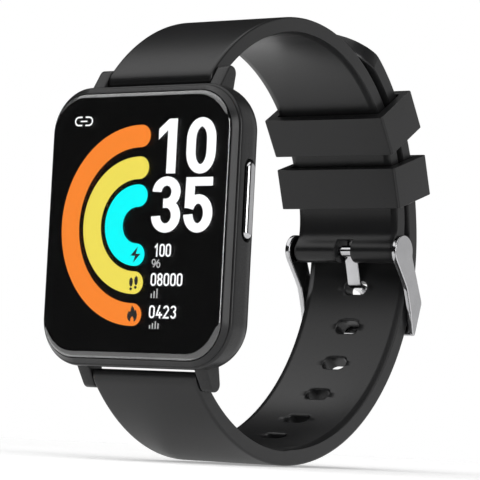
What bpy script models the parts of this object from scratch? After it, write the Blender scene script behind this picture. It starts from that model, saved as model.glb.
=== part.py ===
"""Rectangular smartwatch on a two-piece silicone strap, buckled into its worn loop.

Lengths are in millimetres here and become metres when a mesh is made. +Z points to 12 o'clock,
the screen looks along -Y, and +X is the side with the button. The origin is the centre of the
sensor window's outer face, which rests on the wrist.
"""

import math

import bmesh
import bpy
from mathutils import Matrix, Vector

MM = 0.001
GAP = 0.05                      # smallest gap left between two pieces that touch

# Watch case
CASE_HALF_X = 19.0
CASE_HALF_Z = 22.55
CASE_CORNER = 7.6
CASE_FRONT = -9.2               # where the case meets the bezel ring
CASE_BACK = -3.4                # where the case meets the back cover
CASE_BACK_ROUND = 4.4           # radius that turns the side wall into the back
CASE_WALL = 2.2
CORNER_STEPS = 6

# Bezel, glass and display
GLASS_INSET = 1.3
GLASS_BACK = -9.92
GLASS_FRONT = -10.8
BEZEL_TIP = -10.2
BEZEL_LEDGE = -9.6
BEZEL_OPENING_INSET = 2.4
DISPLAY_INSET = 2.8
DISPLAY_FRONT = -9.86
DISPLAY_BACK = -8.72

# Back cover and sensor window
COVER_OUTER = -2.0
COVER_INNER = -3.3
WINDOW_RADIUS = 10.4
WINDOW_FLAT_RADIUS = 8.6
WINDOW_INNER_RADIUS = 9.6
FLANGE_RADIUS = 11.4

# Screws and their posts
BOSS_X = 13.6
BOSS_Z = 17.2
BOSS_RADIUS = 1.9
WEB_HALF_WIDTH = 1.2
WEB_REACH = 3.0
BOSS_Y = (-7.8, -3.85)
SCREW_SHANK_RADIUS = 0.55
SCREW_HOLE_RADIUS = 0.66
SCREW_HEAD_RADIUS = 1.1
SCREW_Y = (-7.0, -2.15)
SCREW_HEAD_Y = -2.75
SCREW_SEAT_Y = -2.85
CROSS_SLOT = (0.7, 0.13, 0.3)    # half length, half width and depth

# Heart-rate sensor and charging pads
WINDOW_INNER_Y = -1.0
FLANGE_Y = (-3.85, -3.45)
SENSOR_BOARD_Y = (-3.5, -2.9)
SENSOR_CHIP_BACK = -2.85
LED_CENTRE_Z = 4.6
LED_HALF = 0.9
LED_FACE = -2.2
PHOTODIODE_CENTRE_X = 3.4
PHOTODIODE_HALF = (1.3, 1.5)
PHOTODIODE_FACE = -2.3
CONTACT_X = 1.6
CONTACT_Z = -14.4
CONTACT_RADIUS = 0.85
CONTACT_BACK = -3.9
CONTACT_FLANGE = 0.35
MAGNET_X = 6.2
MAGNET_RADIUS = 1.5
MAGNET_Y = (-4.75, -3.4)

# Inside the case; boxes are (low corner, high corner)
CARRIER_Y = (-8.55, -7.95)
CARRIER_INSET = 2.75
FLEX_SLOT = ((-7.0, -9.0, 18.2), (7.0, -7.0, 21.0))
FLEX_HALF_WIDTH = 5.0
BOARD_BOX = ((-11.0, -7.75, 3.4), (11.0, -6.95, 18.2))
BOARD_NOTCH = ((7.5, -8.5, 2.0), (12.0, -6.0, 6.6))
CAN_BOX = ((-8.4, -6.88, 6.0), (4.0, -5.5, 17.0))
BATTERY_BOX = ((-10.8, -7.7, -17.8), (9.4, -5.15, 2.2))
ANTENNA_BOX = ((-6.0, -6.4, 19.1), (6.0, -4.6, 19.35))

# Vibration motor
MOTOR_X = 13.2
MOTOR_Y = -5.9
MOTOR_RADIUS = 1.9
MOTOR_Z = (-10.2, -2.4)
MOTOR_BORE = (0.42, 0.15)       # open end and blind end
MOTOR_BORE_DEPTH = 3.0
SHAFT_RADIUS = 0.32
WEIGHT_Z = (-13.7, -10.9)
WEIGHT_RADIUS = 1.75
WEIGHT_ARC = (-75, 256)

# Lugs and spring bars
LUG_INNER_X = 10.6
LUG_OUTER_X = 13.0
LUG_TIP_RADIUS = 1.25
BAR_Y = -4.3
BAR_Z = 24.75
BAR_RADIUS = 0.75
BAR_BORE = 0.48
BAR_HALF_LENGTH = 9.4
PLUNGER_RADIUS = 0.4
PLUNGER_TIP_X = 11.7
PLUNGER_INNER_X = 6.4
LUG_HOLE_RADIUS = 0.48
LUG_HOLE_END_X = 12.0
SPRING_RADIUS = 0.36
SPRING_WIRE = 0.07
SPRING_TURNS = 9

# Side button
BUTTON_Y = -6.3
BUTTON_Z = 4.2
BUTTON_LENGTH = 12.2
BUTTON_WIDTH = 2.1
RECESS_LENGTH = 12.9
RECESS_WIDTH = 2.8
BUTTON_FACE_X = 19.55
BUTTON_BACK_X = 18.5
RECESS_FLOOR_X = 18.0
STEM_RADIUS = 0.7
STEM_HOLE_RADIUS = 1.15
STEM_END_X = 16.3
STEM_GROOVE_RADIUS = 0.5
CLIP_X = (16.5, 16.74)
CLIP_RADIUS = 1.5
O_RING_X = 17.4
O_RING_RADIUS = 0.93
O_RING_CORD = 0.18
SWITCH_X = (14.2, 15.2)
SWITCH_HALF = (1.2, 1.9)
NUB_RADIUS = 0.6
SWITCH_NUB_GAP = 0.42

# Straps
STRAP_HALF_WIDTH = 10.4
STRAP_EDGE_ROUND = 0.4
STRAP_STEP = 4.0                # degrees between outline points on an arc
STRAP_BORE = 0.86
STRAP_FACE_Y = -6.25            # flat end of each strap, seen between the lugs
STRAP_FOOT_Z = 22.95
UPPER_FRONT_CENTRE = (20.4, 2.85)
UPPER_FRONT_RADII = (34.4, 31.6)
UPPER_BACK_CENTRE = (20.4, 5.25)
UPPER_BACK_MID = 30.55
UPPER_THICKNESS = 2.86
UPPER_SWELL = 0.95              # how far the buckle end drifts outward
LOWER_FRONT_CENTRE = (19.8, -3.9)
LOWER_FRONT_RADII = (33.2, 30.4)
LOWER_BACK_CENTRE = (19.8, 0.8)
LOWER_BACK_RADIUS = 37.9
LOWER_THICKNESS = 3.0
TAIL_RISE = 2.5                 # extra radius where the tail rides over the other strap
TAIL_RISE_ANGLES = (8.0, 66.0)
TAIL_END_ANGLE = 67.5
TAIL_TIP_RADIUS = 11.0

# Strap holes
HOLE_FIRST_ANGLE = -71.25
HOLE_PITCH_ANGLE = 12.25
HOLE_COUNT = 10
HOLE_WIDTH = 4.6
HOLE_HEIGHT = 2.5

# Keepers
KEEPER_HALF_X = 12.4
KEEPER_HEIGHT = 7.2
KEEPER_OPENING_X = 10.75
KEEPER_OPENING = (-3.84, 3.98)
KEEPER_DEPTH = (-5.54, 5.3)
KEEPER_EDGE = 0.25
KEEPER_1_ANGLE = 33.6
KEEPER_1_RADIUS = 32.58
KEEPER_2_CENTRE = (51.95, 13.4)
KEEPER_2_TILT = 19.2
KEEPER_2_PIVOT = (21.7, 2.9)

# Buckle
PIN_CENTRE = (51.3, 1.0)
PIN_RADIUS = 0.55
PIN_HALF_LENGTH = 11.3
BARREL_RADIUS = 2.15
BARREL_BORE = 0.72
NOTCH_HALF_X = 1.7
NOTCH_TOP_Z = 3.0
ARM_END_RADIUS = 2.85
ARM_INNER_X = 10.8
ARM_OUTER_X = 11.75
ARM_HOLE_RADIUS = 0.62
ARM_HOLE_END_X = 11.4
CROSSBAR_GAP = 0.26
CROSSBAR_THICKNESS = 0.8
ARM_PROUD = 0.06                # the arms stand this far outside the crossbar's face
CROSSBAR_Z = (-7.4, -13.3)
TONGUE_HALF_X = 1.3
TONGUE_RING_RADIUS = 1.0
TONGUE_RING_BORE = 0.66
TONGUE_THICKNESS = 0.68

COLOURS = {
    "case": ((0.035, 0.035, 0.037), 0.42, 0.85),
    "glass": ((0.004, 0.004, 0.005), 0.05, 0.0),
    "display": ((0.01, 0.01, 0.012), 0.25, 0.0),
    "silicone": ((0.016, 0.016, 0.017), 0.55, 0.0),
    "steel": ((0.62, 0.62, 0.63), 0.16, 1.0),
    "plastic": ((0.03, 0.03, 0.032), 0.5, 0.0),
    "board": ((0.01, 0.09, 0.05), 0.5, 0.0),
    "foil": ((0.55, 0.56, 0.58), 0.35, 1.0),
    "gold": ((0.75, 0.52, 0.2), 0.3, 1.0),
    "seal": ((0.02, 0.02, 0.02), 0.7, 0.0),
    "polyimide": ((0.42, 0.17, 0.03), 0.4, 0.0),
    "led": ((0.1, 0.75, 0.3), 0.3, 0.0),
}


def clear_scene():
    for old in list(bpy.data.objects):
        bpy.data.objects.remove(old, do_unlink=True)


def material(key):
    """Return the Principled material for one finish, made on first use."""
    found = bpy.data.materials.get(key)
    if found:
        return found
    colour, roughness, metallic = COLOURS[key]
    made = bpy.data.materials.new(key)
    made.use_nodes = True
    shader = made.node_tree.nodes["Principled BSDF"]
    shader.inputs["Base Color"].default_value = (*colour, 1.0)
    shader.inputs["Roughness"].default_value = roughness
    shader.inputs["Metallic"].default_value = metallic
    return made


def add_object(name, work, finish, origin=(0.0, 0.0, 0.0), sharp=32.0):
    """Turn a bmesh in millimetres into a linked object whose origin is at the given point."""
    bmesh.ops.recalc_face_normals(work, faces=work.faces)
    bmesh.ops.translate(work, verts=work.verts, vec=-Vector(origin))
    bmesh.ops.scale(work, verts=work.verts, vec=(MM, MM, MM))
    mesh = bpy.data.meshes.new(name)
    work.to_mesh(mesh)
    work.free()
    mesh.shade_smooth()
    mesh.set_sharp_from_angle(angle=math.radians(sharp))
    mesh.materials.append(material(finish))
    made = bpy.data.objects.new(name, mesh)
    made.location = Vector(origin) * MM
    bpy.context.scene.collection.objects.link(made)
    return made


def boolean(target, tool, operation="DIFFERENCE"):
    """Cut or join a hidden tool object with the target, and leave the modifier in place."""
    tool.hide_render = True
    tool.display_type = "WIRE"
    step = target.modifiers.new(tool.name, "BOOLEAN")
    step.operation = operation
    step.object = tool
    step.solver = "EXACT"


def round_edges(target, width, segments=2, angle=50.0):
    step = target.modifiers.new("edges", "BEVEL")
    step.width = width * MM
    step.segments = segments
    step.limit_method = "ANGLE"
    step.angle_limit = math.radians(angle)
    step.use_clamp_overlap = True


def arc(centre, radius, start, end, step=STRAP_STEP):
    """Points on an arc in the YZ plane; angles are in degrees from +Y towards +Z."""
    count = max(1, round(abs(end - start) / step))
    points = []
    for i in range(count + 1):
        angle = math.radians(start + (end - start) * i / count)
        points.append((centre[0] + radius * math.cos(angle), centre[1] + radius * math.sin(angle)))
    return points


def angle_about(centre, point):
    return math.degrees(math.atan2(point[1] - centre[1], point[0] - centre[0]))


def smoothstep(low, high, value):
    share = min(1.0, max(0.0, (value - low) / (high - low)))
    return share * share * (3.0 - 2.0 * share)


def prism_mesh(outline, x_low, x_high):
    """Extrude a closed YZ outline along X."""
    work = bmesh.new()
    low = [work.verts.new((x_low, y, z)) for y, z in outline]
    high = [work.verts.new((x_high, y, z)) for y, z in outline]
    count = len(outline)
    for i in range(count):
        j = (i + 1) % count
        work.faces.new((low[i], low[j], high[j], high[i]))
    work.faces.new(low)
    work.faces.new(high)
    return work


def box_mesh(low, high):
    work = bmesh.new()
    bmesh.ops.create_cube(work, size=1.0)
    size = Vector(high) - Vector(low)
    centre = (Vector(high) + Vector(low)) / 2
    bmesh.ops.scale(work, verts=work.verts, vec=size)
    bmesh.ops.translate(work, verts=work.verts, vec=centre)
    return work


def skin_rings(work, rings, closed):
    """Bridge equal rings of vertices; the ends are capped, or joined when closed."""
    pairs = list(zip(rings, rings[1:]))
    if closed:
        pairs.append((rings[-1], rings[0]))
    for first, second in pairs:
        count = len(first)
        for i in range(count):
            j = (i + 1) % count
            work.faces.new((first[i], first[j], second[j], second[i]))
    if not closed:
        work.faces.new(rings[0])
        work.faces.new(rings[-1])


def case_outline(inset):
    """Rounded rectangle in XZ, inset from the widest outline of the case."""
    radius = max(0.3, CASE_CORNER - inset)
    reach_x = CASE_HALF_X - inset - radius
    reach_z = CASE_HALF_Z - inset - radius
    points = []
    for quarter in range(4):
        side_x = 1 if quarter in (0, 3) else -1
        side_z = 1 if quarter in (0, 1) else -1
        for i in range(CORNER_STEPS + 1):
            angle = math.radians(90.0 * (quarter + i / CORNER_STEPS))
            points.append((side_x * reach_x + radius * math.cos(angle),
                           side_z * reach_z + radius * math.sin(angle)))
    return points


def case_loft(profile, closed):
    """Body through rounded rectangles: the profile lists (y, inset)."""
    work = bmesh.new()
    rings = [[work.verts.new((x, y, z)) for x, z in case_outline(inset)] for y, inset in profile]
    skin_rings(work, rings, closed)
    return work


def turned_mesh(profile, sides, closed=False):
    """Revolve (along, radius) about the X axis; closed profiles make a tube or a ring."""
    work = bmesh.new()
    rings = []
    for along, radius in profile:
        ring = []
        for i in range(sides):
            angle = 2 * math.pi * (i + 0.5) / sides
            ring.append(work.verts.new((along, radius * math.cos(angle), radius * math.sin(angle))))
        rings.append(ring)
    skin_rings(work, rings, closed)
    return work


AXIS_TURN = {
    "X": Matrix.Identity(4),
    "Y": Matrix.Rotation(math.radians(90), 4, "Z"),
    "Z": Matrix.Rotation(math.radians(-90), 4, "Y"),
}


def place_axis(work, axis, centre):
    """Turn a body made along X to lie along another axis, then move it."""
    bmesh.ops.transform(work, matrix=AXIS_TURN[axis], verts=work.verts)
    bmesh.ops.translate(work, verts=work.verts, vec=centre)
    return work


def cylinder_mesh(axis, centre, radius, low, high, sides=16):
    return place_axis(turned_mesh([(low, radius), (high, radius)], sides), axis, centre)


def pill_outline(length, width, centre, steps=6):
    """Slot shape in YZ with its long side along Z."""
    radius = width / 2
    reach = length / 2 - radius
    top = arc((centre[0], centre[1] + reach), radius, 0, 180, 180 / steps)
    bottom = arc((centre[0], centre[1] - reach), radius, 180, 360, 180 / steps)
    return top + bottom


# ---------------------------------------------------------------- case and screen

def back_round_profile(start, end, steps):
    """(y, inset) down the rounded back of the case, between two turning angles."""
    centre_y = COVER_OUTER - CASE_BACK_ROUND
    points = []
    for i in range(steps + 1):
        angle = math.radians(start + (end - start) * i / steps)
        points.append((centre_y + CASE_BACK_ROUND * math.sin(angle),
                       CASE_BACK_ROUND * (1 - math.cos(angle))))
    return points


def back_angle(y):
    return math.degrees(math.asin((y - COVER_OUTER + CASE_BACK_ROUND) / CASE_BACK_ROUND))


def lug_outline(side_z):
    """Wedge that leaves the case wall and ends in a round nose about the spring bar."""
    nose = arc((BAR_Y + 0.05, BAR_Z - 0.1), LUG_TIP_RADIUS, 142, -20, 18)
    points = [(-7.5, 21.2), (-7.3, 22.3)] + nose + [(-3.45, 22.2), (-3.75, 20.9)]
    return [(y, side_z * z) for y, z in points]


def make_mid_case():
    wall = [(CASE_FRONT, 0.35), (CASE_FRONT + 0.18, 0.08), (CASE_FRONT + 0.6, 0.0)]
    wall += back_round_profile(0, back_angle(CASE_BACK), 3)
    wall += [(CASE_BACK, CASE_WALL), (CASE_FRONT, CASE_WALL)]
    case = add_object("mid_case", case_loft(wall, closed=True), "case")
    for side_x in (-1, 1):
        for side_z in (-1, 1):
            edge = sorted((side_x * LUG_INNER_X, side_x * LUG_OUTER_X))
            tag = f"lug_{side_x}_{side_z}"
            boolean(case, add_object(tag, prism_mesh(lug_outline(side_z), *edge), "case"), "UNION")
    for side_x in (-1, 1):
        for side_z in (-1, 1):
            boolean(case, boss_tool(side_x, side_z), "UNION")
    for side_z in (-1, 1):
        for side_x in (-1, 1):
            boolean(case, lug_hole_tool(side_x, side_z))
    for side_x in (-1, 1):
        for side_z in (-1, 1):
            boolean(case, screw_hole_tool(side_x, side_z))
    recess = prism_mesh(pill_outline(RECESS_LENGTH, RECESS_WIDTH, (BUTTON_Y, BUTTON_Z)),
                        RECESS_FLOOR_X, CASE_HALF_X + 1)
    boolean(case, add_object("recess_tool", recess, "case"))
    hole = cylinder_mesh("X", (0, BUTTON_Y, BUTTON_Z), STEM_HOLE_RADIUS,
                         CASE_HALF_X - CASE_WALL - 1, RECESS_FLOOR_X + 0.5)
    boolean(case, add_object("stem_hole_tool", hole, "case"))
    return case


def boss_tool(side_x, side_z):
    """Screw post with a web that runs into the corner of the wall."""
    reach = Vector((side_x, 0, side_z)).normalized()
    across = Vector((-reach.z, 0, reach.x))
    foot = Vector((side_x * BOSS_X, 0, side_z * BOSS_Z))
    work = cylinder_mesh("Y", foot, BOSS_RADIUS, BOSS_Y[0], BOSS_Y[1], 14)
    post = add_object(f"post_{side_x}_{side_z}", work, "case")
    corners = [foot + across * s * WEB_HALF_WIDTH + reach * t
               for s, t in ((-1, 0), (1, 0), (1, WEB_REACH), (-1, WEB_REACH))]
    web = bmesh.new()
    rings = [[web.verts.new((c.x, y, c.z)) for c in corners] for y in BOSS_Y]
    skin_rings(web, rings, closed=False)
    boolean(post, add_object(f"web_{side_x}_{side_z}", web, "case"), "UNION")
    return post


def lug_hole_tool(side_x, side_z):
    edge = sorted((side_x * (LUG_INNER_X - 0.5), side_x * LUG_HOLE_END_X))
    work = cylinder_mesh("X", (0, BAR_Y, side_z * BAR_Z), LUG_HOLE_RADIUS, *edge, sides=12)
    return add_object(f"bar_hole_{side_x}_{side_z}", work, "case")


def screw_hole_tool(side_x, side_z):
    centre = (side_x * BOSS_X, 0, side_z * BOSS_Z)
    work = cylinder_mesh("Y", centre, SCREW_HOLE_RADIUS, SCREW_Y[0] - 0.2, BOSS_Y[1] + 0.5, 12)
    return add_object(f"screw_hole_{side_x}_{side_z}", work, "case")


def make_bezel_and_glass():
    ring = [(CASE_FRONT - GAP, 0.35), (BEZEL_TIP + 0.12, 1.08), (BEZEL_TIP, 1.22),
            (BEZEL_LEDGE, 1.22), (BEZEL_LEDGE, BEZEL_OPENING_INSET),
            (CASE_FRONT - GAP, BEZEL_OPENING_INSET)]
    add_object("bezel_ring", case_loft(ring, closed=True), "case")
    gasket = [(GLASS_BACK + GAP, 1.45), (GLASS_BACK + GAP, 2.3),
              (BEZEL_LEDGE - GAP, 2.3), (BEZEL_LEDGE - GAP, 1.45)]
    add_object("glass_gasket", case_loft(gasket, closed=True), "seal")
    glass = [(GLASS_BACK, GLASS_INSET), (BEZEL_TIP - 0.02, GLASS_INSET), (-10.42, 1.38),
             (-10.6, 1.58), (-10.72, 1.92), (-10.78, 2.4), (GLASS_FRONT, 3.1)]
    add_object("cover_glass", case_loft(glass, closed=False), "glass", sharp=50.0)
    panel = [(DISPLAY_FRONT, DISPLAY_INSET), (DISPLAY_BACK, DISPLAY_INSET)]
    add_object("display_panel", case_loft(panel, closed=False), "display")


def make_back():
    shell = back_round_profile(back_angle(COVER_INNER), 78, 4)
    shell += [(COVER_OUTER, CASE_BACK_ROUND + 0.6)]
    cover = add_object("back_cover", case_loft(shell, closed=False), "plastic")
    window_hole = cylinder_mesh("Y", (0, 0, 0), WINDOW_RADIUS + 0.12, COVER_INNER - 1, COVER_OUTER + 1, 40)
    boolean(cover, add_object("window_hole_tool", window_hole, "plastic"))
    for side_x in (-1, 1):
        for side_z in (-1, 1):
            boolean(cover, screw_seat_tool(side_x, side_z))
    for side_x in (-1, 1):
        seat = cylinder_mesh("Y", (side_x * CONTACT_X, 0, CONTACT_Z), CONTACT_RADIUS + 0.08,
                             COVER_INNER - 1, COVER_OUTER + 1, 14)
        boolean(cover, add_object(f"contact_hole_{side_x}", seat, "plastic"))
    gasket = [(CASE_BACK - 0.35, CASE_WALL + 0.15), (CASE_BACK + 0.04, CASE_WALL + 0.15),
              (CASE_BACK + 0.04, CASE_WALL + 0.8), (CASE_BACK - 0.35, CASE_WALL + 0.8)]
    add_object("back_gasket", case_loft(gasket, closed=True), "seal")


def screw_seat_tool(side_x, side_z):
    """Stepped hole for one back-cover screw."""
    through = SCREW_HOLE_RADIUS + GAP
    seat = SCREW_HEAD_RADIUS + 0.12
    steps = [(COVER_INNER - 1, through), (SCREW_SEAT_Y, through),
             (SCREW_SEAT_Y, seat), (COVER_OUTER + 1, seat)]
    work = place_axis(turned_mesh(steps, 14), "Y", (side_x * BOSS_X, 0, side_z * BOSS_Z))
    return add_object(f"screw_seat_{side_x}_{side_z}", work, "plastic")


def make_screws():
    corners = {"top_right": (1, 1), "top_left": (-1, 1), "bottom_right": (1, -1), "bottom_left": (-1, -1)}
    for tag, (side_x, side_z) in corners.items():
        centre = (side_x * BOSS_X, 0, side_z * BOSS_Z)
        shape = [(SCREW_Y[0], SCREW_SHANK_RADIUS * 0.6), (SCREW_Y[0] + 0.3, SCREW_SHANK_RADIUS),
                 (SCREW_HEAD_Y, SCREW_SHANK_RADIUS), (SCREW_HEAD_Y, SCREW_HEAD_RADIUS),
                 (SCREW_Y[1] - 0.12, SCREW_HEAD_RADIUS), (SCREW_Y[1], SCREW_HEAD_RADIUS - 0.12)]
        screw = add_object(f"case_screw_{tag}", place_axis(turned_mesh(shape, 14), "Y", centre), "steel")
        length, width, depth = CROSS_SLOT
        for turn, size in enumerate(((length, width), (width, length))):
            low = (centre[0] - size[0], SCREW_Y[1] - depth, centre[2] - size[1])
            high = (centre[0] + size[0], SCREW_Y[1] + depth, centre[2] + size[1])
            boolean(screw, add_object(f"slot_{tag}_{turn}", box_mesh(low, high), "steel"))


def make_sensor():
    shape = [(0.0, WINDOW_FLAT_RADIUS), (-0.12, WINDOW_FLAT_RADIUS + 0.75), (-0.5, WINDOW_RADIUS - 0.4),
             (-1.2, WINDOW_RADIUS), (FLANGE_Y[1], WINDOW_RADIUS), (FLANGE_Y[1], FLANGE_RADIUS),
             (FLANGE_Y[0], FLANGE_RADIUS), (FLANGE_Y[0], WINDOW_INNER_RADIUS),
             (WINDOW_INNER_Y, WINDOW_INNER_RADIUS)]
    work = place_axis(turned_mesh(shape[::-1], 40), "Y", (0, 0, 0))
    add_object("sensor_window", work, "glass", sharp=40.0)
    board = cylinder_mesh("Y", (0, 0, 0), WINDOW_INNER_RADIUS - 0.25, *SENSOR_BOARD_Y, sides=24)
    add_object("sensor_board", board, "board")
    for tag, side_z in (("upper", 1), ("lower", -1)):
        low = (-LED_HALF, SENSOR_CHIP_BACK, side_z * LED_CENTRE_Z - LED_HALF)
        led = box_mesh(low, (LED_HALF, LED_FACE, side_z * LED_CENTRE_Z + LED_HALF))
        add_object(f"green_led_{tag}", led, "led")
    for tag, side_x in (("left", -1), ("right", 1)):
        half_x, half_z = PHOTODIODE_HALF
        low = (side_x * PHOTODIODE_CENTRE_X - half_x, SENSOR_CHIP_BACK, -half_z)
        eye = box_mesh(low, (side_x * PHOTODIODE_CENTRE_X + half_x, PHOTODIODE_FACE, half_z))
        add_object(f"photodiode_{tag}", eye, "display")


def make_charging():
    for tag, side_x in (("left", -1), ("right", 1)):
        flange = CONTACT_RADIUS + CONTACT_FLANGE
        shape = [(CONTACT_BACK, flange), (COVER_INNER - GAP, flange),
                 (COVER_INNER - GAP, CONTACT_RADIUS), (COVER_OUTER - 0.1, CONTACT_RADIUS)]
        work = place_axis(turned_mesh(shape, 14), "Y", (side_x * CONTACT_X, 0, CONTACT_Z))
        add_object(f"charge_contact_{tag}", work, "gold")
        magnet = cylinder_mesh("Y", (side_x * MAGNET_X, 0, CONTACT_Z), MAGNET_RADIUS, *MAGNET_Y)
        add_object(f"charge_magnet_{tag}", magnet, "foil")


# ---------------------------------------------------------------- inside the case

def make_inside():
    carrier = case_loft([(y, CARRIER_INSET) for y in CARRIER_Y], closed=False)
    frame = add_object("inner_frame", carrier, "plastic")
    boolean(frame, add_object("flex_slot_tool", box_mesh(*FLEX_SLOT), "plastic"))
    board = add_object("main_board", box_mesh(*BOARD_BOX), "board")
    boolean(board, add_object("board_notch_tool", box_mesh(*BOARD_NOTCH), "board"))
    can = add_object("shield_can", box_mesh(*CAN_BOX), "foil")
    round_edges(can, 0.3, 1)
    cell = add_object("battery", box_mesh(*BATTERY_BOX), "foil")
    round_edges(cell, 0.6, 2)
    add_object("antenna_strip", box_mesh(*ANTENNA_BOX), "gold")
    flex = [(-8.66, 14.0), (-8.66, 19.0), (-8.3, 19.45), (-7.95, 19.0), (-7.82, 18.4), (-7.82, 15.0),
            (-7.92, 15.0), (-7.92, 18.4), (-8.05, 18.95), (-8.3, 19.3), (-8.58, 18.95), (-8.58, 14.0)]
    add_object("display_flex", prism_mesh(flex, -FLEX_HALF_WIDTH, FLEX_HALF_WIDTH), "polyimide")


def make_motor():
    mouth, blind = MOTOR_BORE
    step = MOTOR_Z[0] + MOTOR_BORE_DEPTH
    shape = [(MOTOR_Z[0], mouth), (step, mouth), (step, blind), (MOTOR_Z[1], blind),
             (MOTOR_Z[1], MOTOR_RADIUS), (MOTOR_Z[0], MOTOR_RADIUS)]
    can = place_axis(turned_mesh(shape, 18, closed=True), "Z", (MOTOR_X, MOTOR_Y, 0))
    add_object("motor_can", can, "foil")
    centre = (MOTOR_X, MOTOR_Y, 0)
    shaft = cylinder_mesh("Z", centre, SHAFT_RADIUS, WEIGHT_Z[0], step - 0.4, 10)
    weight = add_object("motor_weight", shaft, "foil", origin=centre)
    swing = arc((MOTOR_X, MOTOR_Y), WEIGHT_RADIUS, *WEIGHT_ARC, step=22)
    half = bmesh.new()
    rings = [[half.verts.new((x, y, z)) for x, y in swing] for z in WEIGHT_Z]
    skin_rings(half, rings, closed=False)
    boolean(weight, add_object("weight_tool", half, "foil"), "UNION")


def make_button():
    stem_axis = (0, BUTTON_Y, BUTTON_Z)
    cap = prism_mesh(pill_outline(BUTTON_LENGTH, BUTTON_WIDTH, (BUTTON_Y, BUTTON_Z)),
                     BUTTON_BACK_X, BUTTON_FACE_X)
    button = add_object("button_cap", cap, "steel", origin=(BUTTON_BACK_X, BUTTON_Y, BUTTON_Z))
    round_edges(button, 0.28, 2)
    shape = [(STEM_END_X, STEM_RADIUS), (CLIP_X[0] - GAP, STEM_RADIUS), (CLIP_X[0] - GAP, STEM_GROOVE_RADIUS),
             (CLIP_X[1] + GAP, STEM_GROOVE_RADIUS), (CLIP_X[1] + GAP, STEM_RADIUS),
             (BUTTON_BACK_X + 0.4, STEM_RADIUS)]
    stem = place_axis(turned_mesh(shape, 14), "X", stem_axis)
    boolean(button, add_object("stem_tool", stem, "steel"), "UNION")
    ring = arc((O_RING_X, O_RING_RADIUS), O_RING_CORD, 0, 300, 60)
    seal = place_axis(turned_mesh(ring, 18, closed=True), "X", stem_axis)
    add_object("button_o_ring", seal, "seal", origin=stem_axis)
    outer = arc((BUTTON_Y, BUTTON_Z), CLIP_RADIUS, 25, 335, 25)
    inner = arc((BUTTON_Y, BUTTON_Z), STEM_GROOVE_RADIUS + GAP, 335, 25, 25)
    add_object("button_clip", prism_mesh(outer + inner, *CLIP_X), "steel", origin=stem_axis)
    half_y, half_z = SWITCH_HALF
    body = box_mesh((SWITCH_X[0], BUTTON_Y - half_y, BUTTON_Z - half_z),
                    (SWITCH_X[1], BUTTON_Y + half_y, BUTTON_Z + half_z))
    switch = add_object("button_switch", body, "plastic")
    nub = cylinder_mesh("X", stem_axis, NUB_RADIUS, SWITCH_X[1] - 0.3, STEM_END_X - SWITCH_NUB_GAP, 12)
    boolean(switch, add_object("nub_tool", nub, "plastic"), "UNION")


# ---------------------------------------------------------------- spring bars

def make_spring_bar(tag, side_z):
    axis_point = (0, BAR_Y, side_z * BAR_Z)
    wall = [(-BAR_HALF_LENGTH, BAR_RADIUS), (BAR_HALF_LENGTH, BAR_RADIUS),
            (BAR_HALF_LENGTH, BAR_BORE), (-BAR_HALF_LENGTH, BAR_BORE)]
    tube = place_axis(turned_mesh(wall, 14, closed=True), "X", axis_point)
    add_object(f"bar_{tag}_tube", tube, "steel")
    for name, side_x in (("left", -1), ("right", 1)):
        ends = [(side_x * PLUNGER_INNER_X, PLUNGER_RADIUS), (side_x * (PLUNGER_TIP_X - 0.15), PLUNGER_RADIUS),
                (side_x * PLUNGER_TIP_X, PLUNGER_RADIUS - 0.15)]
        work = place_axis(turned_mesh(ends, 10), "X", axis_point)
        add_object(f"bar_{tag}_plunger_{name}", work, "steel", origin=axis_point)
    reach = PLUNGER_INNER_X - 0.2 - SPRING_WIRE
    add_object(f"bar_{tag}_spring", helix_mesh(axis_point, reach), "steel")


def helix_mesh(centre, reach, steps_per_turn=8, sides=4):
    """Coil spring along X, as one closed wire."""
    work = bmesh.new()
    rings = []
    total = SPRING_TURNS * steps_per_turn
    rise = 2 * reach / (SPRING_TURNS * 2 * math.pi)
    for i in range(total + 1):
        turn = 2 * math.pi * i / steps_per_turn
        outward = Vector((0, math.cos(turn), math.sin(turn)))
        along = Vector((rise, -SPRING_RADIUS * math.sin(turn), SPRING_RADIUS * math.cos(turn))).normalized()
        across = along.cross(outward)
        place = Vector(centre) + Vector((-reach + 2 * reach * i / total, 0, 0)) + outward * SPRING_RADIUS
        ring = []
        for k in range(sides):
            a = 2 * math.pi * k / sides
            ring.append(work.verts.new(place + (outward * math.cos(a) + across * math.sin(a)) * SPRING_WIRE))
        rings.append(ring)
    skin_rings(work, rings, closed=False)
    return work


# ---------------------------------------------------------------- straps

def strap_end(front_centre, radii, side_z):
    """The case end of a strap: foot, flat face and its rounded upper corner, inner to outer."""
    foot = STRAP_FOOT_Z
    inner_y = front_centre[0] - math.sqrt(radii[1] ** 2 - (foot - side_z * front_centre[1]) ** 2)
    corner_z = side_z * front_centre[1] + math.sqrt(radii[0] ** 2 - (STRAP_FACE_Y - front_centre[0]) ** 2)
    points = [(inner_y, foot), (STRAP_FACE_Y + 0.25, foot), (STRAP_FACE_Y, foot + 0.25),
              (STRAP_FACE_Y, corner_z - 0.7), (STRAP_FACE_Y + 0.12, corner_z - 0.25)]
    return [(y, side_z * z) for y, z in points]


def start_angle(front_centre, radius, y):
    """Angle where the front arc passes the given Y, on the 12 o'clock side."""
    return math.degrees(math.acos((y - front_centre[0]) / radius))


def upper_mid_radius(angle):
    return UPPER_BACK_MID + UPPER_SWELL * smoothstep(0.0, 22.0, 22.0 - angle)


def upper_back_point(angle, side):
    """A point on the back half of the upper strap; side is +1 outside and -1 towards the wrist."""
    radius = upper_mid_radius(angle) + side * UPPER_THICKNESS / 2
    turn = math.radians(angle)
    return (UPPER_BACK_CENTRE[0] + radius * math.cos(turn), UPPER_BACK_CENTRE[1] + radius * math.sin(turn))


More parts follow.
